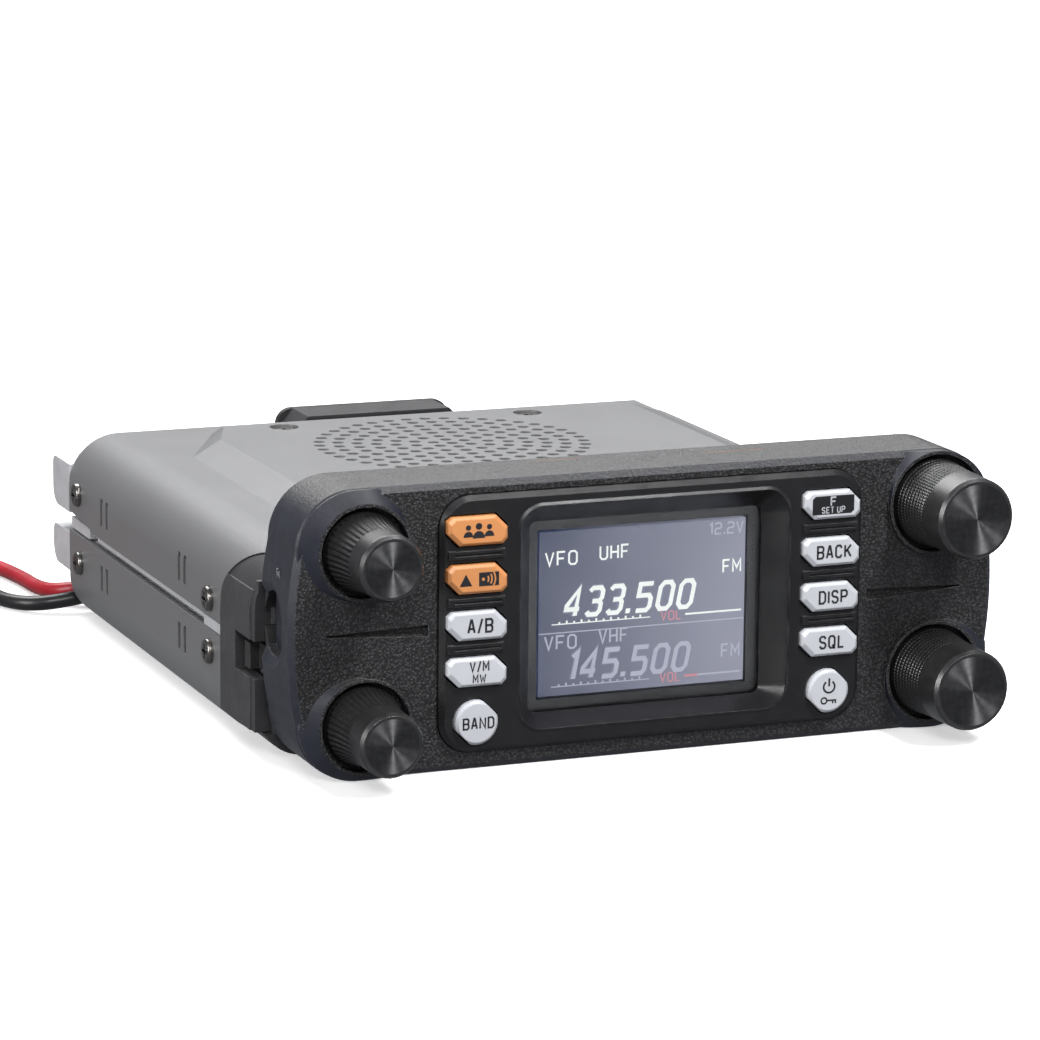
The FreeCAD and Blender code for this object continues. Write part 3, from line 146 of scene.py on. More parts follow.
# ---- materials ----
class Look:
    """One procedural material, wired up from a few kinds of pattern."""

    def __init__(self, name, colour, rough, metal=0.0, **fixed):
        self.material = bpy.data.materials.new(name)
        self.material.use_nodes = True
        self.tree = self.material.node_tree
        self.shader = self.tree.nodes["Principled BSDF"]
        self.set("Base Color", (*colour, 1.0))
        self.set("Roughness", rough)
        self.set("Metallic", metal)
        for socket, value in fixed.items():
            self.set(socket.replace("_", " "), value)
        self.colour = colour
        self.rough = rough
        self.place = self.add("ShaderNodeTexCoord").outputs["Object"]
        self.normal = None

    def set(self, socket, value):
        self.shader.inputs[socket].default_value = value

    def add(self, kind, **settings):
        node = self.tree.nodes.new(kind)
        for key, value in settings.items():
            setattr(node, key, value)
        return node

    def wire(self, source, target):
        self.tree.links.new(source, target)

    def noise(self, size, detail=2.0, stretch=(1.0, 1.0, 1.0)):
        """Soft blotches about that many metres across."""
        node = self.add("ShaderNodeTexNoise")
        node.inputs["Scale"].default_value = 1.0 / size
        node.inputs["Detail"].default_value = detail
        if stretch != (1.0, 1.0, 1.0):
            spread = self.add("ShaderNodeMapping")
            spread.inputs["Scale"].default_value = stretch
            self.wire(self.place, spread.inputs["Vector"])
            self.wire(spread.outputs["Vector"], node.inputs["Vector"])
        else:
            self.wire(self.place, node.inputs["Vector"])
        return node.outputs["Fac"]

    def pebbles(self, size):
        """Rounded leather-like pebbles about that many metres across."""
        wobble = self.add("ShaderNodeTexNoise")
        wobble.inputs["Scale"].default_value = 0.6 / size
        self.wire(self.place, wobble.inputs["Vector"])
        shift = self.add("ShaderNodeVectorMath", operation="MULTIPLY_ADD")
        shift.inputs[1].default_value = (1.4 * size,) * 3
        self.wire(wobble.outputs["Color"], shift.inputs[0])
        self.wire(self.place, shift.inputs[2])
        cells = self.add("ShaderNodeTexVoronoi", feature="SMOOTH_F1")
        cells.inputs["Scale"].default_value = 1.0 / size
        cells.inputs["Smoothness"].default_value = 0.35
        self.wire(shift.outputs["Vector"], cells.inputs["Vector"])
        return self.maths("SUBTRACT", 1.0, cells.outputs["Distance"])

    def maths(self, operation, first, second=None):
        node = self.add("ShaderNodeMath", operation=operation)
        for slot, value in enumerate((first, second)):
            if value is None:
                continue
            if isinstance(value, (int, float)):
                node.inputs[slot].default_value = value
            else:
                self.wire(value, node.inputs[slot])
        return node.outputs["Value"]

    def between(self, value, low, high, start=0.0, end=1.0):
        """value stretched from low..high to start..end, and held there."""
        node = self.add("ShaderNodeMapRange")
        for socket, number in (("From Min", low), ("From Max", high), ("To Min", start), ("To Max", end)):
            node.inputs[socket].default_value = number
        self.wire(value, node.inputs["Value"])
        return node.outputs["Result"]

    def blend(self, share, dark, light):
        """A colour from dark to light by share. dark may be a socket."""
        node = self.add("ShaderNodeMix", data_type="RGBA")
        self.wire(share, node.inputs["Factor"])
        for socket, value in ((node.inputs[6], dark), (node.inputs[7], light)):
            if isinstance(value, (tuple, list)):
                socket.default_value = (*value, 1.0)
            else:
                self.wire(value, socket)
        return node.outputs[2]

    def paint(self, source):
        self.wire(source, self.shader.inputs["Base Color"])
        self.colour = source

    def shine(self, source):
        self.wire(source, self.shader.inputs["Roughness"])

    def soft_edges(self, radius):
        """Catches light on edges as if they were rounded by that radius."""
        node = self.add("ShaderNodeBevel", samples=4)
        node.inputs["Radius"].default_value = radius
        self.normal = node.outputs["Normal"]
        return self

    def edges(self, radius):
        """1 at sharp edges, 0 elsewhere, for edge wear and painted edge highlights."""
        rounded = self.add("ShaderNodeBevel", samples=6)
        rounded.inputs["Radius"].default_value = radius
        flat = self.add("ShaderNodeNewGeometry")
        dot = self.add("ShaderNodeVectorMath", operation="DOT_PRODUCT")
        self.wire(rounded.outputs["Normal"], dot.inputs[0])
        self.wire(flat.outputs["Normal"], dot.inputs[1])
        return self.between(dot.outputs["Value"], 0.985, 0.80)

    def bump(self, height, depth, share=None):
        """Raises the surface by height times depth metres. share limits where."""
        node = self.add("ShaderNodeBump")
        node.inputs["Distance"].default_value = depth
        node.inputs["Strength"].default_value = 1.0
        if share is not None:
            self.wire(share, node.inputs["Strength"])
        self.wire(height, node.inputs["Height"])
        if self.normal is not None:
            self.wire(self.normal, node.inputs["Normal"])
        self.normal = node.outputs["Normal"]
        return self

    def axis(self, name):
        node = self.add("ShaderNodeSeparateXYZ")
        self.wire(self.place, node.inputs["Vector"])
        return node.outputs[name]

    def facing(self, name):
        """One component of the true surface direction."""
        node = self.add("ShaderNodeSeparateXYZ")
        self.wire(self.add("ShaderNodeNewGeometry").outputs["True Normal"], node.inputs["Vector"])
        return node.outputs[name]

    def done(self):
        if self.normal is not None:
            self.wire(self.normal, self.shader.inputs["Normal"])
        return self.material


def mottled(look, size, spread, rough_spread=0.06):
    """Faint changes of shade and gloss over a surface."""
    cloud = look.noise(size, 3.0)
    shade = look.between(cloud, 0.3, 0.7)
    dark = tuple(c * (1.0 - spread) for c in look.colour)
    light = tuple(min(1.0, c * (1.0 + spread)) for c in look.colour)
    look.paint(look.blend(shade, dark, light))
    look.shine(look.between(look.noise(size * 0.6, 3.0), 0.3, 0.7, look.rough - rough_spread,
                            look.rough + rough_spread))
    return look


def edge_wear_and_highlight(look, radius, share, colour):
    """Lighter colour along edges, broken up by a noise: partly rubbed-through wear, partly a painted
    highlight where edges catch the light.
    """
    rubbed_and_lit = look.maths("MULTIPLY", look.edges(radius), look.between(look.noise(0.002, 4.0), 0.42, 0.62))
    rubbed_and_lit = look.maths("MULTIPLY", rubbed_and_lit, share)
    look.paint(look.blend(rubbed_and_lit, look.colour, colour))
    return look


def grained_plastic(name, colour, rough, grain, depth, mottle=0.12):
    look = mottled(Look(name, colour, rough), 0.006, mottle)
    look.soft_edges(0.0002)
    look.bump(look.noise(grain, 2.0), depth)
    # Lighter edges: partly wear, partly painted edge highlight.
    return edge_wear_and_highlight(look, 0.0003, 0.35, (0.16, 0.16, 0.17)).done()


def head_shell_look():
    """Pebbled face, smoother bluish sides and a finely grained top band, which is painted lighter grey where
    it faces up: painted light from above.
    """
    look = Look("head_shell", (0.019, 0.0195, 0.021), 0.45)
    face = look.between(look.facing("Y"), -0.97, -0.995)
    top = look.between(look.facing("Z"), 0.55, 0.85)
    pebbles = look.pebbles(0.0005)
    # The pebble crests are painted lighter and the gaps between them darker: painted glints and painted shade
    # in the grain.
    crest_share = look.between(pebbles, 0.45, 0.85)
    skin = look.blend(crest_share, (0.015, 0.015, 0.0155), (0.056, 0.056, 0.059))
    cloud = look.between(look.noise(0.004, 3.0), 0.3, 0.7)
    side = look.blend(cloud, (0.012, 0.013, 0.022), (0.018, 0.020, 0.031))
    # Where the band faces up it is painted lighter grey: painted light from above.
    lit_top_band = look.blend(crest_share, (0.028, 0.028, 0.029), (0.060, 0.060, 0.060))
    rim = look.blend(top, side, (0.0, 0.0, 0.0))
    look.wire(lit_top_band, rim.node.inputs[7])
    whole = look.blend(face, rim, (0.0, 0.0, 0.0))
    look.wire(skin, whole.node.inputs[7])
    look.paint(whole)
    look.shine(look.between(look.noise(0.003, 3.0), 0.3, 0.7, 0.36, 0.48))
    look.soft_edges(0.00025)
    look.bump(pebbles, 0.00017, look.maths("MAXIMUM", face, look.maths("MULTIPLY", top, 0.5)))
    look.bump(look.noise(0.00022, 2.0), 0.00003)
    # Lighter edges and collars: partly wear, partly painted edge highlight.
    return edge_wear_and_highlight(look, 0.0004, 0.55, (0.17, 0.17, 0.175)).done()


def key_plate_look():
    look = mottled(Look("key_plate", (0.012, 0.012, 0.013), 0.34), 0.005, 0.15)
    look.soft_edges(0.0002)
    look.bump(look.noise(0.00025, 2.0), 0.00002)
    # Lighter rim lines: partly wear, partly a painted highlight on the lit rim.
    return edge_wear_and_highlight(look, 0.0003, 0.4, (0.13, 0.13, 0.135)).done()


def cover_look():
    look = mottled(Look("cover_paint", (0.190, 0.190, 0.193), 0.40, 0.35), 0.02, 0.02, 0.015)
    look.soft_edges(0.0003)
    look.bump(look.noise(0.00028, 3.0), 0.00006)
    # Lighter edges, slot walls included: partly wear, partly painted edge highlight.
    return edge_wear_and_highlight(look, 0.00025, 0.2, (0.36, 0.36, 0.36)).done()


def casting_look():
    look = mottled(Look("casting", (0.60, 0.605, 0.62), 0.45, 0.4), 0.004, 0.08)
    look.soft_edges(0.0003)
    look.bump(look.noise(0.0005, 4.0), 0.00005)
    return look.done()


def key_look(name, colour):
    look = mottled(Look(name, colour, 0.34, Coat_Weight=0.25, Coat_Roughness=0.25), 0.003, 0.025)
    look.soft_edges(0.00035)
    look.bump(look.noise(0.0002, 2.0), 0.000008)
    return look.done()


def knob_barrel_look(name, ribs, rings):
    """Black anodised barrel with fine ribs, cut across by rings on the big knobs."""
    look = mottled(Look(name, (0.014, 0.014, 0.0145), 0.33, Specular_IOR_Level=1.0), 0.002, 0.2, 0.04)
    split = look.add("ShaderNodeSeparateXYZ")
    look.wire(look.add("ShaderNodeTexCoord").outputs["Generated"], split.inputs["Vector"])
    angle = look.maths("ARCTAN2", look.maths("SUBTRACT", split.outputs["Z"], 0.5),
                       look.maths("SUBTRACT", split.outputs["X"], 0.5))
    height = look.maths("SINE", look.maths("MULTIPLY", angle, ribs))
    if rings:
        cut = look.maths("SINE", look.maths("MULTIPLY", split.outputs["Y"], 2 * math.pi * rings))
        height = look.maths("MINIMUM", height, cut)
    grip = look.maths("MULTIPLY", look.between(split.outputs["Y"], 0.36, 0.39),
                      look.between(split.outputs["Y"], 0.92, 0.89))
    look.soft_edges(0.00015)
    look.bump(height, 0.00014, grip)
    # Lighter edges and ring edges: partly wear, partly painted edge highlight.
    return edge_wear_and_highlight(look, 0.00025, 0.5, (0.22, 0.22, 0.23)).done()


def spun_look():
    """Turned face: the fan of light that fine rings give."""
    look = Look("knob_face", (0.12, 0.12, 0.125), 0.5, 1.0, Anisotropic=0.95, Anisotropic_Rotation=0.25)
    tangent = look.add("ShaderNodeTangent", direction_type="RADIAL", axis="Y")
    look.wire(tangent.outputs["Tangent"], look.shader.inputs["Tangent"])
    shade = look.between(look.noise(0.0012, 3.0), 0.3, 0.7)
    look.paint(look.blend(shade, (0.10, 0.10, 0.105), (0.15, 0.15, 0.155)))
    return look.done()


def bare_metal(name, colour, rough, grain=0.0006):
    look = mottled(Look(name, colour, rough, 1.0), 0.0015, 0.12)
    look.soft_edges(0.00012)
    look.bump(look.noise(grain, 3.0), 0.00001)
    return look.done()


def lead_look(name, colour):
    look = mottled(Look(name, colour, 0.36), 0.006, 0.15)
    look.bump(look.noise(0.0012, 3.0), 0.00003)
    return look.done()


def board_look():
    """Solder mask with faint tracks below it."""
    look = Look("board", (0.012, 0.10, 0.045), 0.32)
    tracks = look.add("ShaderNodeTexBrick")
    tracks.inputs["Scale"].default_value = 260.0
    tracks.inputs["Color1"].default_value = (0.010, 0.085, 0.038, 1)
    tracks.inputs["Color2"].default_value = (0.014, 0.11, 0.05, 1)
    tracks.inputs["Mortar"].default_value = (0.020, 0.17, 0.075, 1)
    look.wire(look.place, tracks.inputs["Vector"])
    look.paint(tracks.outputs["Color"])
    look.bump(look.noise(0.0009, 2.0), 0.00003)
    return look.done()


def glow(name, colour, strength):
    """A lit part of the display, with a faint unevenness in its backlight."""
    look = Look(name, tuple(c * 0.3 for c in colour), 0.4)
    uneven = look.between(look.noise(0.012, 2.0), 0.3, 0.7)
    tint = look.blend(uneven, tuple(c * 0.93 for c in colour), colour)
    look.wire(tint, look.shader.inputs["Emission Color"])
    look.set("Emission Strength", strength)
    return look.done()


def screen_look():
    """The lit panel: lighter to the lower right."""
    look = Look("screen", (0.02, 0.022, 0.03), 0.3)
    half_wide, half_high = SCREEN_HALF
    across = look.between(look.axis("X"), -half_wide * MM, half_wide * MM)
    down = look.between(look.axis("Z"), (SCREEN_MID[1] + half_high) * MM, (SCREEN_MID[1] - half_high) * MM)
    # The brightening towards the right, and slightly towards the bottom, is partly uneven backlight and
    # partly a painted reflection of the lamps on the window.
    slope = look.maths("ADD", look.maths("MULTIPLY", across, 0.85), look.maths("MULTIPLY", down, 0.08))
    slope = look.maths("ADD", slope, look.between(look.noise(0.02, 1.0), 0.3, 0.7, -0.06, 0.06))
    tint = look.blend(slope, (0.012, 0.020, 0.060), (0.240, 0.245, 0.300))
    look.wire(tint, look.shader.inputs["Emission Color"])
    look.set("Emission Strength", 1.0)
    return look.done()


def window_look():
    look = Look("window", (0.97, 0.98, 1.0), 0.03, Transmission_Weight=1.0, IOR=1.12)
    look.shine(look.between(look.noise(0.004, 3.0), 0.3, 0.75, 0.0, 0.02))
    return look.done()


LOOKS = {
    "head_shell": head_shell_look(),
    "head_back": grained_plastic("head_back", (0.016, 0.016, 0.017), 0.5, 0.0004, 0.00004),
    "key_plate": key_plate_look(),
    "key_orange": key_look("key_orange", (0.75, 0.31, 0.11)),
    "key_white": key_look("key_white", (0.60, 0.615, 0.65)),
    "key_dark": grained_plastic("key_dark", (0.016, 0.016, 0.018), 0.32, 0.0003, 0.00001),
    "rubber": grained_plastic("rubber", (0.012, 0.012, 0.012), 0.62, 0.0004, 0.00003),
    "knob_plain": knob_barrel_look("knob_plain", 40, 0),
    "knob_fine": knob_barrel_look("knob_fine", 84, 17),
    "knob_face": spun_look(),
    "bracket": grained_plastic("bracket", (0.036, 0.036, 0.038), 0.5, 0.00035, 0.00007, 0.16),
    "cover": cover_look(),
    "casting": casting_look(),
    "screw": bare_metal("screw", (0.20, 0.19, 0.18), 0.28),
    "dark_screw": bare_metal("dark_screw", (0.10, 0.095, 0.09), 0.3),
    "fan": grained_plastic("fan", (0.014, 0.014, 0.015), 0.45, 0.0003, 0.00002),
    "nickel": bare_metal("nickel", (0.70, 0.68, 0.64), 0.22),
    "insulator": grained_plastic("insulator", (0.75, 0.73, 0.66), 0.4, 0.0005, 0.00002, 0.05),
    "steel": bare_metal("steel", (0.55, 0.55, 0.55), 0.35),
    "paper": grained_plastic("paper", (0.03, 0.03, 0.03), 0.8, 0.0006, 0.00008),
    "board": board_look(),
    "lead_red": lead_look("lead_red", (0.36, 0.008, 0.018)),
    "lead_black": lead_look("lead_black", (0.012, 0.012, 0.013)),
    "plug": grained_plastic("plug", (0.70, 0.67, 0.60), 0.42, 0.0006, 0.00002, 0.04),
    "window": window_look(),
    "screen": screen_look(),
    "lit_white": glow("lit_white", (0.66, 0.68, 0.64), 1.0),
    "lit_dim": glow("lit_dim", (0.30, 0.31, 0.37), 1.0),
    "lit_edge": glow("lit_edge", (0.13, 0.14, 0.20), 1.0),
    "lit_red": glow("lit_red", (0.45, 0.17, 0.19), 1.0),
    "ink": grained_plastic("ink", (0.018, 0.018, 0.022), 0.5, 0.0004, 0.00001, 0.05),
    "pale_ink": grained_plastic("pale_ink", (0.30, 0.31, 0.34), 0.5, 0.0004, 0.00001, 0.05),
    "orange_ink": grained_plastic("orange_ink", (0.34, 0.12, 0.04), 0.5, 0.0004, 0.00001, 0.08),
}

NODE_LOOKS = {
    "head_front": "head_shell", "head_rear": "head_back", "head_screws": "dark_screw",
    "key_plate": "key_plate", "keypad": "rubber", "key_switches": "steel",
    "display_window": "window", "display_frame": "head_back", "display_panel": "screen",
    "head_board": "board", "card_socket": "steel", "encoder_bodies": "fan",
    "bracket": "bracket", "top_cover": "cover", "bottom_cover": "cover", "chassis": "casting",
    "main_board": "board", "shield_cans": "steel", "power_module": "fan",
    "speaker_basket": "steel", "speaker_cone": "paper", "speaker_magnet": "steel",
    "fan_frame": "fan", "fan_rotor": "fan", "fan_guard": "fan", "fan_screws": "screw",
    "antenna_socket": "nickel", "antenna_contact": "insulator", "speaker_jacks": "fan",
    "data_jack": "fan", "modular_jack": "fan", "cover_screws": "screw", "board_screws": "steel",
    "lead_grommet": "rubber", "lead_plug": "plug", "lead_red": "lead_red", "lead_black": "lead_black",
}
for place in KNOBS:
    NODE_LOOKS["rotor_" + place] = "fan"
    NODE_LOOKS["shaft_" + place] = "steel"
    NODE_LOOKS["knob_" + place] = "knob_fine" if "right" in place else "knob_plain"
for side in ("left", "right"):
    for number in range(1, 6):
        orange = side == "left" and number < 3
        NODE_LOOKS[f"key_{side}_{number}"] = "key_orange" if orange else "key_white"


def give_look(obj, look):
    obj.data.materials.clear()
    obj.data.materials.append(LOOKS[look])


for node, look in NODE_LOOKS.items():
    give_look(NODES[node], look)
give_look(red_lead, "lead_red")
give_look(black_lead, "lead_black")


# ---- small printed and lit pieces ----
def add_piece(name, data, look, body, place, turn=(0.0, 0.0, 0.0)):
    piece = bpy.data.objects.new(name, data)
    bpy.context.scene.collection.objects.link(piece)
    piece.location = Vector(place) * MM
    piece.rotation_euler = [math.radians(a) for a in turn]
    data.materials.append(LOOKS[look])
    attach(piece, body)
    return piece


FACING_FRONT = (90.0, 0.0, 0.0)
INK_THICK = 0.02  # mm, how far printed and lit marks stand out
LETTER_GAP = 1.15  # clear space between letters, and below it a blank's width, on the glyph grid
BLANK_WIDE = 3.0
ROUND_O = [(0, 1), (0, 5), (1, 6), (3, 6), (4, 5), (4, 1), (3, 0), (1, 0), (0, 1)]
GLYPHS = {  # plain stroke letters and digits on a grid six units high
    "0": [ROUND_O],
    "1": [[(0.6, 5), (2, 6), (2, 0)]],
    "2": [[(0, 5.2), (0.8, 6), (3.2, 6), (4, 5.2), (4, 3.7), (3.3, 3), (0.7, 3), (0, 2.3), (0, 0), (4, 0)]],
    "3": [[(0, 5.3), (0.8, 6), (3.2, 6), (4, 5.2), (4, 3.7), (3.3, 3), (1.2, 3)],
          [(3.3, 3), (4, 2.3), (4, 0.8), (3.2, 0), (0.8, 0), (0, 0.7)]],
    "4": [[(3, 0), (3, 6), (0, 2.4), (0, 1.5), (4, 1.5)]],
    "5": [[(4, 6), (0, 6), (0, 3.4), (3.2, 3.4), (4, 2.6), (4, 0.8), (3.2, 0), (0, 0)]],
    "A": [[(0, 0), (1.7, 6), (2.3, 6), (4, 0)], [(0.8, 1.9), (3.2, 1.9)]],
    "B": [[(0, 0), (0, 6), (3.1, 6), (4, 5.2), (4, 3.9), (3.2, 3.1), (4, 2.3), (4, 0.8), (3.1, 0), (0, 0)],
          [(0, 3.1), (3.2, 3.1)]],
    "C": [[(4, 4.7), (3, 6), (1, 6), (0, 5), (0, 1), (1, 0), (3, 0), (4, 1.3)]],
    "D": [[(0, 0), (0, 6), (2.8, 6), (4, 4.8), (4, 1.2), (2.8, 0), (0, 0)]],
    "E": [[(3.8, 6), (0, 6), (0, 0), (3.8, 0)], [(0, 3.1), (3.2, 3.1)]],
    "F": [[(3.8, 6), (0, 6), (0, 0)], [(0, 3), (3.2, 3)]],
    "H": [[(0, 0), (0, 6)], [(4, 0), (4, 6)], [(0, 3), (4, 3)]],
    "I": [[(0, 0), (0, 6)]],
    "K": [[(0, 0), (0, 6)], [(4, 6), (0.5, 2.6)], [(1.5, 3.6), (4.1, 0)]],
    "L": [[(0, 6), (0, 0), (3.5, 0)]],
    "M": [[(0, 0), (0, 6), (2.3, 2), (4.6, 6), (4.6, 0)]],
    "N": [[(0, 0), (0, 6), (4, 0), (4, 6)]],
    "O": [ROUND_O],
    "P": [[(0, 0), (0, 6), (3.1, 6), (4, 5.1), (4, 3.7), (3.1, 2.8), (0, 2.8)]],
    "Q": [ROUND_O, [(2.4, 1.6), (4.3, -0.5)]],
    "S": [[(4, 4.8), (3, 6), (1, 6), (0, 5.1), (0, 4), (0.9, 3.2),
           (3.1, 2.8), (4, 2), (4, 0.9), (3, 0), (1, 0), (0, 1.2)]],
    "T": [[(0, 6), (4, 6)], [(2, 6), (2, 0)]],
    "U": [[(0, 6), (0, 1), (1, 0), (3, 0), (4, 1), (4, 6)]],
    "V": [[(0, 6), (2, 0), (4, 6)]],
    "W": [[(0, 6), (1.3, 0), (2.7, 4.2), (4.1, 0), (5.4, 6)]],
    "/": [[(0, -0.4), (2.4, 6.4)]],
    ".": [[(0, -0.4), (0, 0.7)]],
}


def ribbon(points, width):
    """(left, right) point pairs along a stroke of that width, mitred at its bends."""
    closed = points[0] == points[-1]
    if closed:
        points = points[:-1]
    pairs = []
    for i, (x, y) in enumerate(points):
        before = points[i - 1] if closed or i > 0 else None
        after = points[(i + 1) % len(points)] if closed or i < len(points) - 1 else None
        ways = []
        for a, b in ((before, (x, y)), ((x, y), after)):
            if a is not None and b is not None:
                ways.append((Vector(b) - Vector(a)).normalized())
        normals = [Vector((-way.y, way.x)) for way in ways]
        middle = (normals[0] + normals[-1]).normalized()
        reach = 0.5 * width / max(0.45, middle.dot(normals[0]))
        dx, dy = middle * reach
        pairs.append(((x + dx, y + dy), (x - dx, y - dy)))
    return pairs, closed


def words(name, text, high, look, body, place, weight, slant=0.0, wide=1.0):
    """Thin raised stroke lettering, high millimetres tall, its middle at place."""
    unit = high / 6.0
    build = bmesh.new()
    pen = 0.0
    for letter in text:
        if letter == " ":
            pen += BLANK_WIDE * unit * wide
            continue
        strokes = [[(x * unit * wide, y * unit) for x, y in stroke] for stroke in GLYPHS[letter]]
        left = min(x for stroke in strokes for x, y in stroke)
        right = max(x for stroke in strokes for x, y in stroke)
        for stroke in strokes:
            pairs, closed = ribbon(stroke, weight)
            rows = []
            for pair in pairs:
                rows.append([build.verts.new(((pen + x - left + slant * y) * MM, (y - high / 2) * MM, 0.0))
                             for x, y in pair])
            if closed:
                rows.append(rows[0])
            for a, b in zip(rows, rows[1:]):
                build.faces.new((a[0], a[1], b[1], b[0]))
        pen += right - left + weight + LETTER_GAP * unit * wide
    length = (pen - LETTER_GAP * unit * wide - weight + slant * high) * MM
    bmesh.ops.translate(build, verts=list(build.verts), vec=(-length / 2, 0.0, 0.0))
    return raised(name, build, INK_THICK, look, body, place, FACING_FRONT)


def raised(name, build, thick, look, body, place, turn):
    """Turns flat faces into one thin raised piece."""
    mesh = bpy.data.meshes.new(name)
    grown = bmesh.ops.extrude_face_region(build, geom=list(build.faces))
    lifted = [v for v in grown["geom"] if isinstance(v, bmesh.types.BMVert)]
    bmesh.ops.translate(build, verts=lifted, vec=(0.0, 0.0, thick * MM))
    bmesh.ops.recalc_face_normals(build, faces=build.faces)
    build.to_mesh(mesh)
    build.free()
    return add_piece(name, mesh, look, body, place, turn)


def flat_mesh(name, shapes, look, body, place, turn=FACING_FRONT, thick=INK_THICK):
    """Flat shapes, each a list of (x, y) in millimetres, as one thin raised piece."""
    build = bmesh.new()
    for shape in shapes:
        build.faces.new([build.verts.new((x * MM, y * MM, 0.0)) for x, y in shape])
    return raised(name, build, thick, look, body, place, turn)


def bar(x0, x1, y0, y1):
    return [(x0, y0), (x1, y0), (x1, y1), (x0, y1)]


def circle(x, y, r, count=24):
    turns = [2 * math.pi * i / count for i in range(count)]
    return [(x + r * math.cos(a), y + r * math.sin(a)) for a in turns]


def ring_sector(x, y, r0, r1, start, end, count=14):
    """Part of a ring between two angles in degrees, as a strip of four-sided shapes."""
    shapes = []
    for i in range(count):
        a = math.radians(start + (end - start) * i / count)
        b = math.radians(start + (end - start) * (i + 1) / count)
        shapes.append([
            (x + r0 * math.cos(a), y + r0 * math.sin(a)),
            (x + r1 * math.cos(a), y + r1 * math.sin(a)),
            (x + r1 * math.cos(b), y + r1 * math.sin(b)),
            (x + r0 * math.cos(b), y + r0 * math.sin(b)),
        ])
    return shapes


def key_place(side, row):
    x = -KEY_X if side == "left" else KEY_X
    return (x, KEY_FRONT - 0.02, KEY_ROWS[row - 1])


def key_legends():
    ink = [
        # side, row, text, height, and how far its middle is right of and above the key's
        ("left", 3, "A/B", 2.3, 0.4, 0.0),
        ("left", 4, "V/M", 1.7, 0.3, 1.05),
        ("left", 4, "MW", 1.45, 0.3, -1.15),
        ("left", 5, "BAND", 1.9, 0.2, 0.0),
        ("right", 2, "BACK", 2.2, 0.4, 0.0),
        ("right", 3, "DISP", 2.2, 0.4, 0.0),
        ("right", 4, "SQL", 2.2, 0.3, 0.0),
    ]
    for side, row, text, size, dx, dz in ink:
        x, y, z = key_place(side, row)
        name = f"legend_{side}_{row}_{'low' if dz < 0 else 'mid'}"
        words(name, text, size, "ink", f"key_{side}_{row}", (x + dx, y, z + dz), 0.17 * size, wide=0.78)
    # first key: a group of three people, second key: a wave mark on a dark field
    people = []
    for dx, scale in ((-2.0, 0.8), (2.0, 0.8), (0.0, 1.0)):
        people.append(circle(dx, 0.9 * scale, 0.62 * scale, 16))
        people.append([(dx + 1.15 * scale * math.cos(a), -1.25 * scale + 1.3 * scale * math.sin(a))
                       for a in [math.pi * i / 12 for i in range(13)]])
    flat_mesh("legend_left_1", people, "ink", "key_left_1", key_place("left", 1))
    flat_mesh("legend_left_2_field", [bar(0.1, 3.9, -1.25, 1.25)], "ink", "key_left_2", key_place("left", 2))
    waves = [circle(0.9, 0.0, 0.3, 14)]
    for r in (0.85, 1.5, 2.15):
        waves += ring_sector(0.9, 0.0, r, r + 0.3, -32, 32, 6)
    x, y, z = key_place("left", 2)
    flat_mesh("legend_left_2_waves", waves, "key_orange", "key_left_2", (x, y - 0.02, z))
    triangle = [(-3.6, -1.1), (-1.2, -1.1), (-2.4, 1.1)]
    flat_mesh("legend_left_2_mark", [triangle], "ink", "key_left_2", (x, y, z))
    # function key: dark field in a light frame
    x, y, z = key_place("right", 1)
    field = [(-4.2, -1.7), (3.6, -1.7), (4.2, -1.2), (4.2, 1.75), (-3.6, 1.75), (-4.2, 1.2)]
    flat_mesh("legend_right_1_field", [field], "key_dark", "key_right_1", (x, y, z))
    body = "key_right_1"
    words("legend_right_1_top", "F", 1.5, "key_white", body, (x, y - 0.03, z + 0.7), 0.3)
    words("legend_right_1_low", "SET UP", 1.05, "key_white", body, (x, y - 0.03, z - 0.9), 0.18, wide=0.8)
    # power key: power mark over a key mark
    power = ring_sector(0.0, 0.9, 0.95, 1.3, 125, 415, 20)
    power.append(bar(-0.18, 0.18, 1.0, 2.5))
    power += ring_sector(-1.0, -1.7, 0.42, 0.72, 0, 360, 16)
    power.append(bar(-0.3, 1.5, -1.85, -1.55))
    power.append(bar(0.65, 0.95, -2.3, -1.8))
    power.append(bar(1.2, 1.5, -2.3, -1.8))
    flat_mesh("legend_right_5", power, "ink", "key_right_5", key_place("right", 5))


def on_screen(u, v, lift):
    """A place on the display: u from its left, v from its top, as shares of its size."""
    x = SCREEN_MID[0] + SCREEN_HALF[0] * (2 * u - 1)
    z = SCREEN_MID[1] + SCREEN_HALF[1] * (1 - 2 * v)
    return (x, SCREEN_FRONT - lift, z)


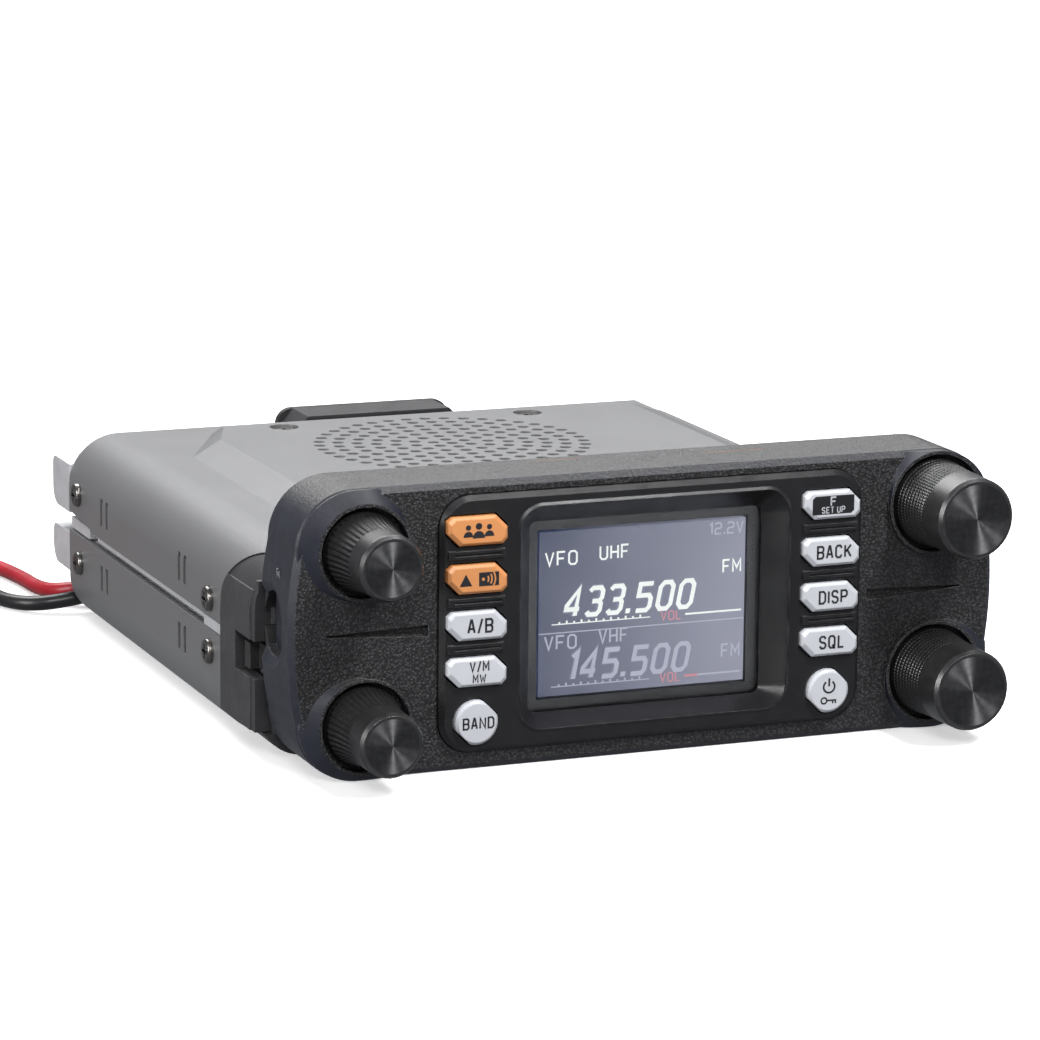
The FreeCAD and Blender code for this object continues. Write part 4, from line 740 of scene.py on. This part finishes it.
def band_readout(number, frequency, band, lit, mode_v, kind_v, digits_v, scale_v):
    """One half of the display: mode, band, frequency, signal scale and volume bar."""
    tag = f"screen_{number}_"
    words(tag + "mode", "VFO", 2.4, lit, "radio", on_screen(0.105, mode_v, 0.05), 0.36, wide=0.95)
    words(tag + "band", band, 2.4, lit, "radio", on_screen(0.36, mode_v - 0.015, 0.05), 0.36, wide=0.85)
    words(tag + "kind", "FM", 2.3, lit, "radio", on_screen(0.935, kind_v, 0.05), 0.34, wide=0.85)
    middle = on_screen(0.44, digits_v, 0.045)
    words(tag + "digits_edge", frequency, 4.9, "lit_edge", "radio", middle, 1.3, 0.2, 0.66)
    middle = on_screen(0.44, digits_v, 0.08)
    words(tag + "digits", frequency, 4.9, lit, "radio", middle, 0.85, 0.2, 0.78)
    scale = [bar(-9.7, 9.7, -0.1, 0.1)]
    for i in range(12):
        x = -8.2 + 1.45 * i
        scale.append(bar(x - 0.18, x + 0.18, 0.12, 0.6 if i % 2 else 0.42))
    flat_mesh(tag + "scale", scale, lit, "radio", on_screen(0.30, scale_v, 0.05))
    words(tag + "volume", "VOL", 1.6, "lit_red", "radio", on_screen(0.64, scale_v, 0.05), 0.22, wide=0.95)
    flat_mesh(tag + "volume_bar", [bar(0.0, 11.2, -0.17, 0.17)], lit, "radio", on_screen(0.71, scale_v, 0.05))


def screen_content():
    words("screen_supply", "12.2V", 2.0, "lit_dim", "radio", on_screen(0.905, 0.055, 0.05), 0.3, wide=0.9)
    band_readout(1, "433.500", "UHF", "lit_white", 0.165, 0.29, 0.44, 0.565)
    divider = bar(-20.3, 20.3, -0.1, 0.1)
    flat_mesh("screen_divider", [divider], "lit_dim", "radio", on_screen(0.5, 0.617, 0.05))
    band_readout(2, "145.500", "VHF", "lit_dim", 0.675, 0.81, 0.825, 0.945)
    mark = bar(0.0, 2.6, -0.2, 0.2)
    flat_mesh("screen_volume_mark", [mark], "lit_red", "radio", on_screen(0.71, 0.945, 0.08))


def head_marks():
    """A small card symbol on the side band and two thin painted lines on the top band."""
    card = [bar(-0.8, -0.6, -1.0, 1.0), bar(0.55, 0.75, -1.0, 0.6), bar(-0.6, 0.55, -1.0, -0.8),
            bar(-0.6, 0.3, 0.8, 1.0), bar(-0.25, 0.2, -0.45, 0.45)]
    flat_mesh("card_symbol", card, "pale_ink", "radio", (-68.86, -76.4, 37.1), (90.0, -7.5, -90.0), 0.03)
    lines = {
        "painted_line_1": [(-18.0, -70.2), (-9.0, -70.5), (-9.0, -70.7), (-18.0, -70.4)],
        "painted_line_2": [(14.5, -73.0), (27.0, -73.4), (27.0, -73.55), (14.5, -73.25)],
    }
    for name, points in lines.items():
        flat_mesh(name, [points], "orange_ink", "radio", (0.0, 0.0, HEAD_TOP), (0, 0, 0))


# ---- knobs ----
def spun_face(place):
    """A shallow dished disc set on the front of a knob."""
    x, z, r, front = KNOBS[place]
    mesh = bpy.data.meshes.new("face_" + place)
    build = bmesh.new()
    rings = [  # radius, and how far back the dish is there
        (0.0, 0.02), (0.25 * r, 0.015), (0.5 * r, 0.01), (0.75 * r, 0.005), (r - 0.55, 0.0),
    ]
    count = 96
    loops = []
    turns = [2 * math.pi * i / count for i in range(count)]
    for radius, back in rings[1:]:
        loops.append([build.verts.new((radius * math.cos(a) * MM, back * MM, radius * math.sin(a) * MM))
                      for a in turns])
    centre = build.verts.new((0.0, rings[0][1] * MM, 0.0))
    for i in range(count):
        j = (i + 1) % count
        build.faces.new((centre, loops[0][i], loops[0][j]))
        for a, b in zip(loops, loops[1:]):
            build.faces.new((a[i], b[i], b[j], a[j]))
    bmesh.ops.recalc_face_normals(build, faces=build.faces)
    for face in build.faces:
        face.smooth = True
    build.to_mesh(mesh)
    build.free()
    return add_piece("face_" + place, mesh, "knob_face", "knob_" + place, (x, front - 0.05, z))


for place in KNOBS:
    spun_face(place)
key_legends()
screen_content()
head_marks()


# ---- floor and light ----
def studio():
    """A wide pale floor, a dim room that looks white to the camera, and four soft lamps."""
    floor_mesh = bpy.data.meshes.new("floor")
    half = 12.0
    corners = [(-half, -half, 0), (half, -half, 0), (half, half, 0), (-half, half, 0)]
    floor_mesh.from_pydata(corners, [], [(0, 1, 2, 3)])
    floor = bpy.data.objects.new("floor", floor_mesh)
    bpy.context.scene.collection.objects.link(floor)
    look = Look("floor", (0.93, 0.93, 0.93), 0.9)
    cloud = look.between(look.noise(0.4, 2.0), 0.3, 0.7)
    look.paint(look.blend(cloud, (0.92, 0.92, 0.92), (0.94, 0.94, 0.94)))
    look.set("Emission Color", (1.0, 1.0, 1.0, 1.0))
    look.set("Emission Strength", 0.42)
    floor_mesh.materials.append(look.done())
    floor.visible_diffuse = False
    floor.visible_glossy = False

    world = bpy.data.worlds.new("studio")
    bpy.context.scene.world = world
    world.use_nodes = True
    back = world.node_tree.nodes["Background"]
    rays = world.node_tree.nodes.new("ShaderNodeLightPath")
    pick = world.node_tree.nodes.new("ShaderNodeMix")
    pick.data_type = "RGBA"
    pick.inputs[6].default_value = (0.24, 0.245, 0.26, 1)
    pick.inputs[7].default_value = (1.0, 1.0, 1.0, 1)
    world.node_tree.links.new(rays.outputs["Is Camera Ray"], pick.inputs["Factor"])
    world.node_tree.links.new(pick.outputs[2], back.inputs["Color"])
    back.inputs["Strength"].default_value = 1.0

    lamps = (  # name, place, target, size, power
        ("top_box", (0.1, 0.75, 1.0), (0.0, 0.0, 0.0), (1.2, 0.7), 21.0),
        ("front_box", (-0.5, -1.3, 0.9), (0.0, -0.1, 0.03), (0.5, 0.4), 10.0),
        ("left_box", (-1.2, -0.25, 0.35), (0.0, 0.0, 0.02), (0.2, 0.6), 9.0),
        ("strip", (0.24, -0.58, 0.80), (0.0, -0.1, 0.03), (0.03, 0.35), 8.0),
    )
    for name, place, target, size, power in lamps:
        data = bpy.data.lights.new(name, "AREA")
        data.shape = "RECTANGLE"
        data.size, data.size_y = size
        data.energy = power
        lamp = bpy.data.objects.new(name, data)
        bpy.context.scene.collection.objects.link(lamp)
        lamp.location = place
        lamp.rotation_euler = (Vector(target) - Vector(place)).to_track_quat("-Z", "Y").to_euler()
    bpy.context.scene.view_settings.view_transform = "Standard"


studio()
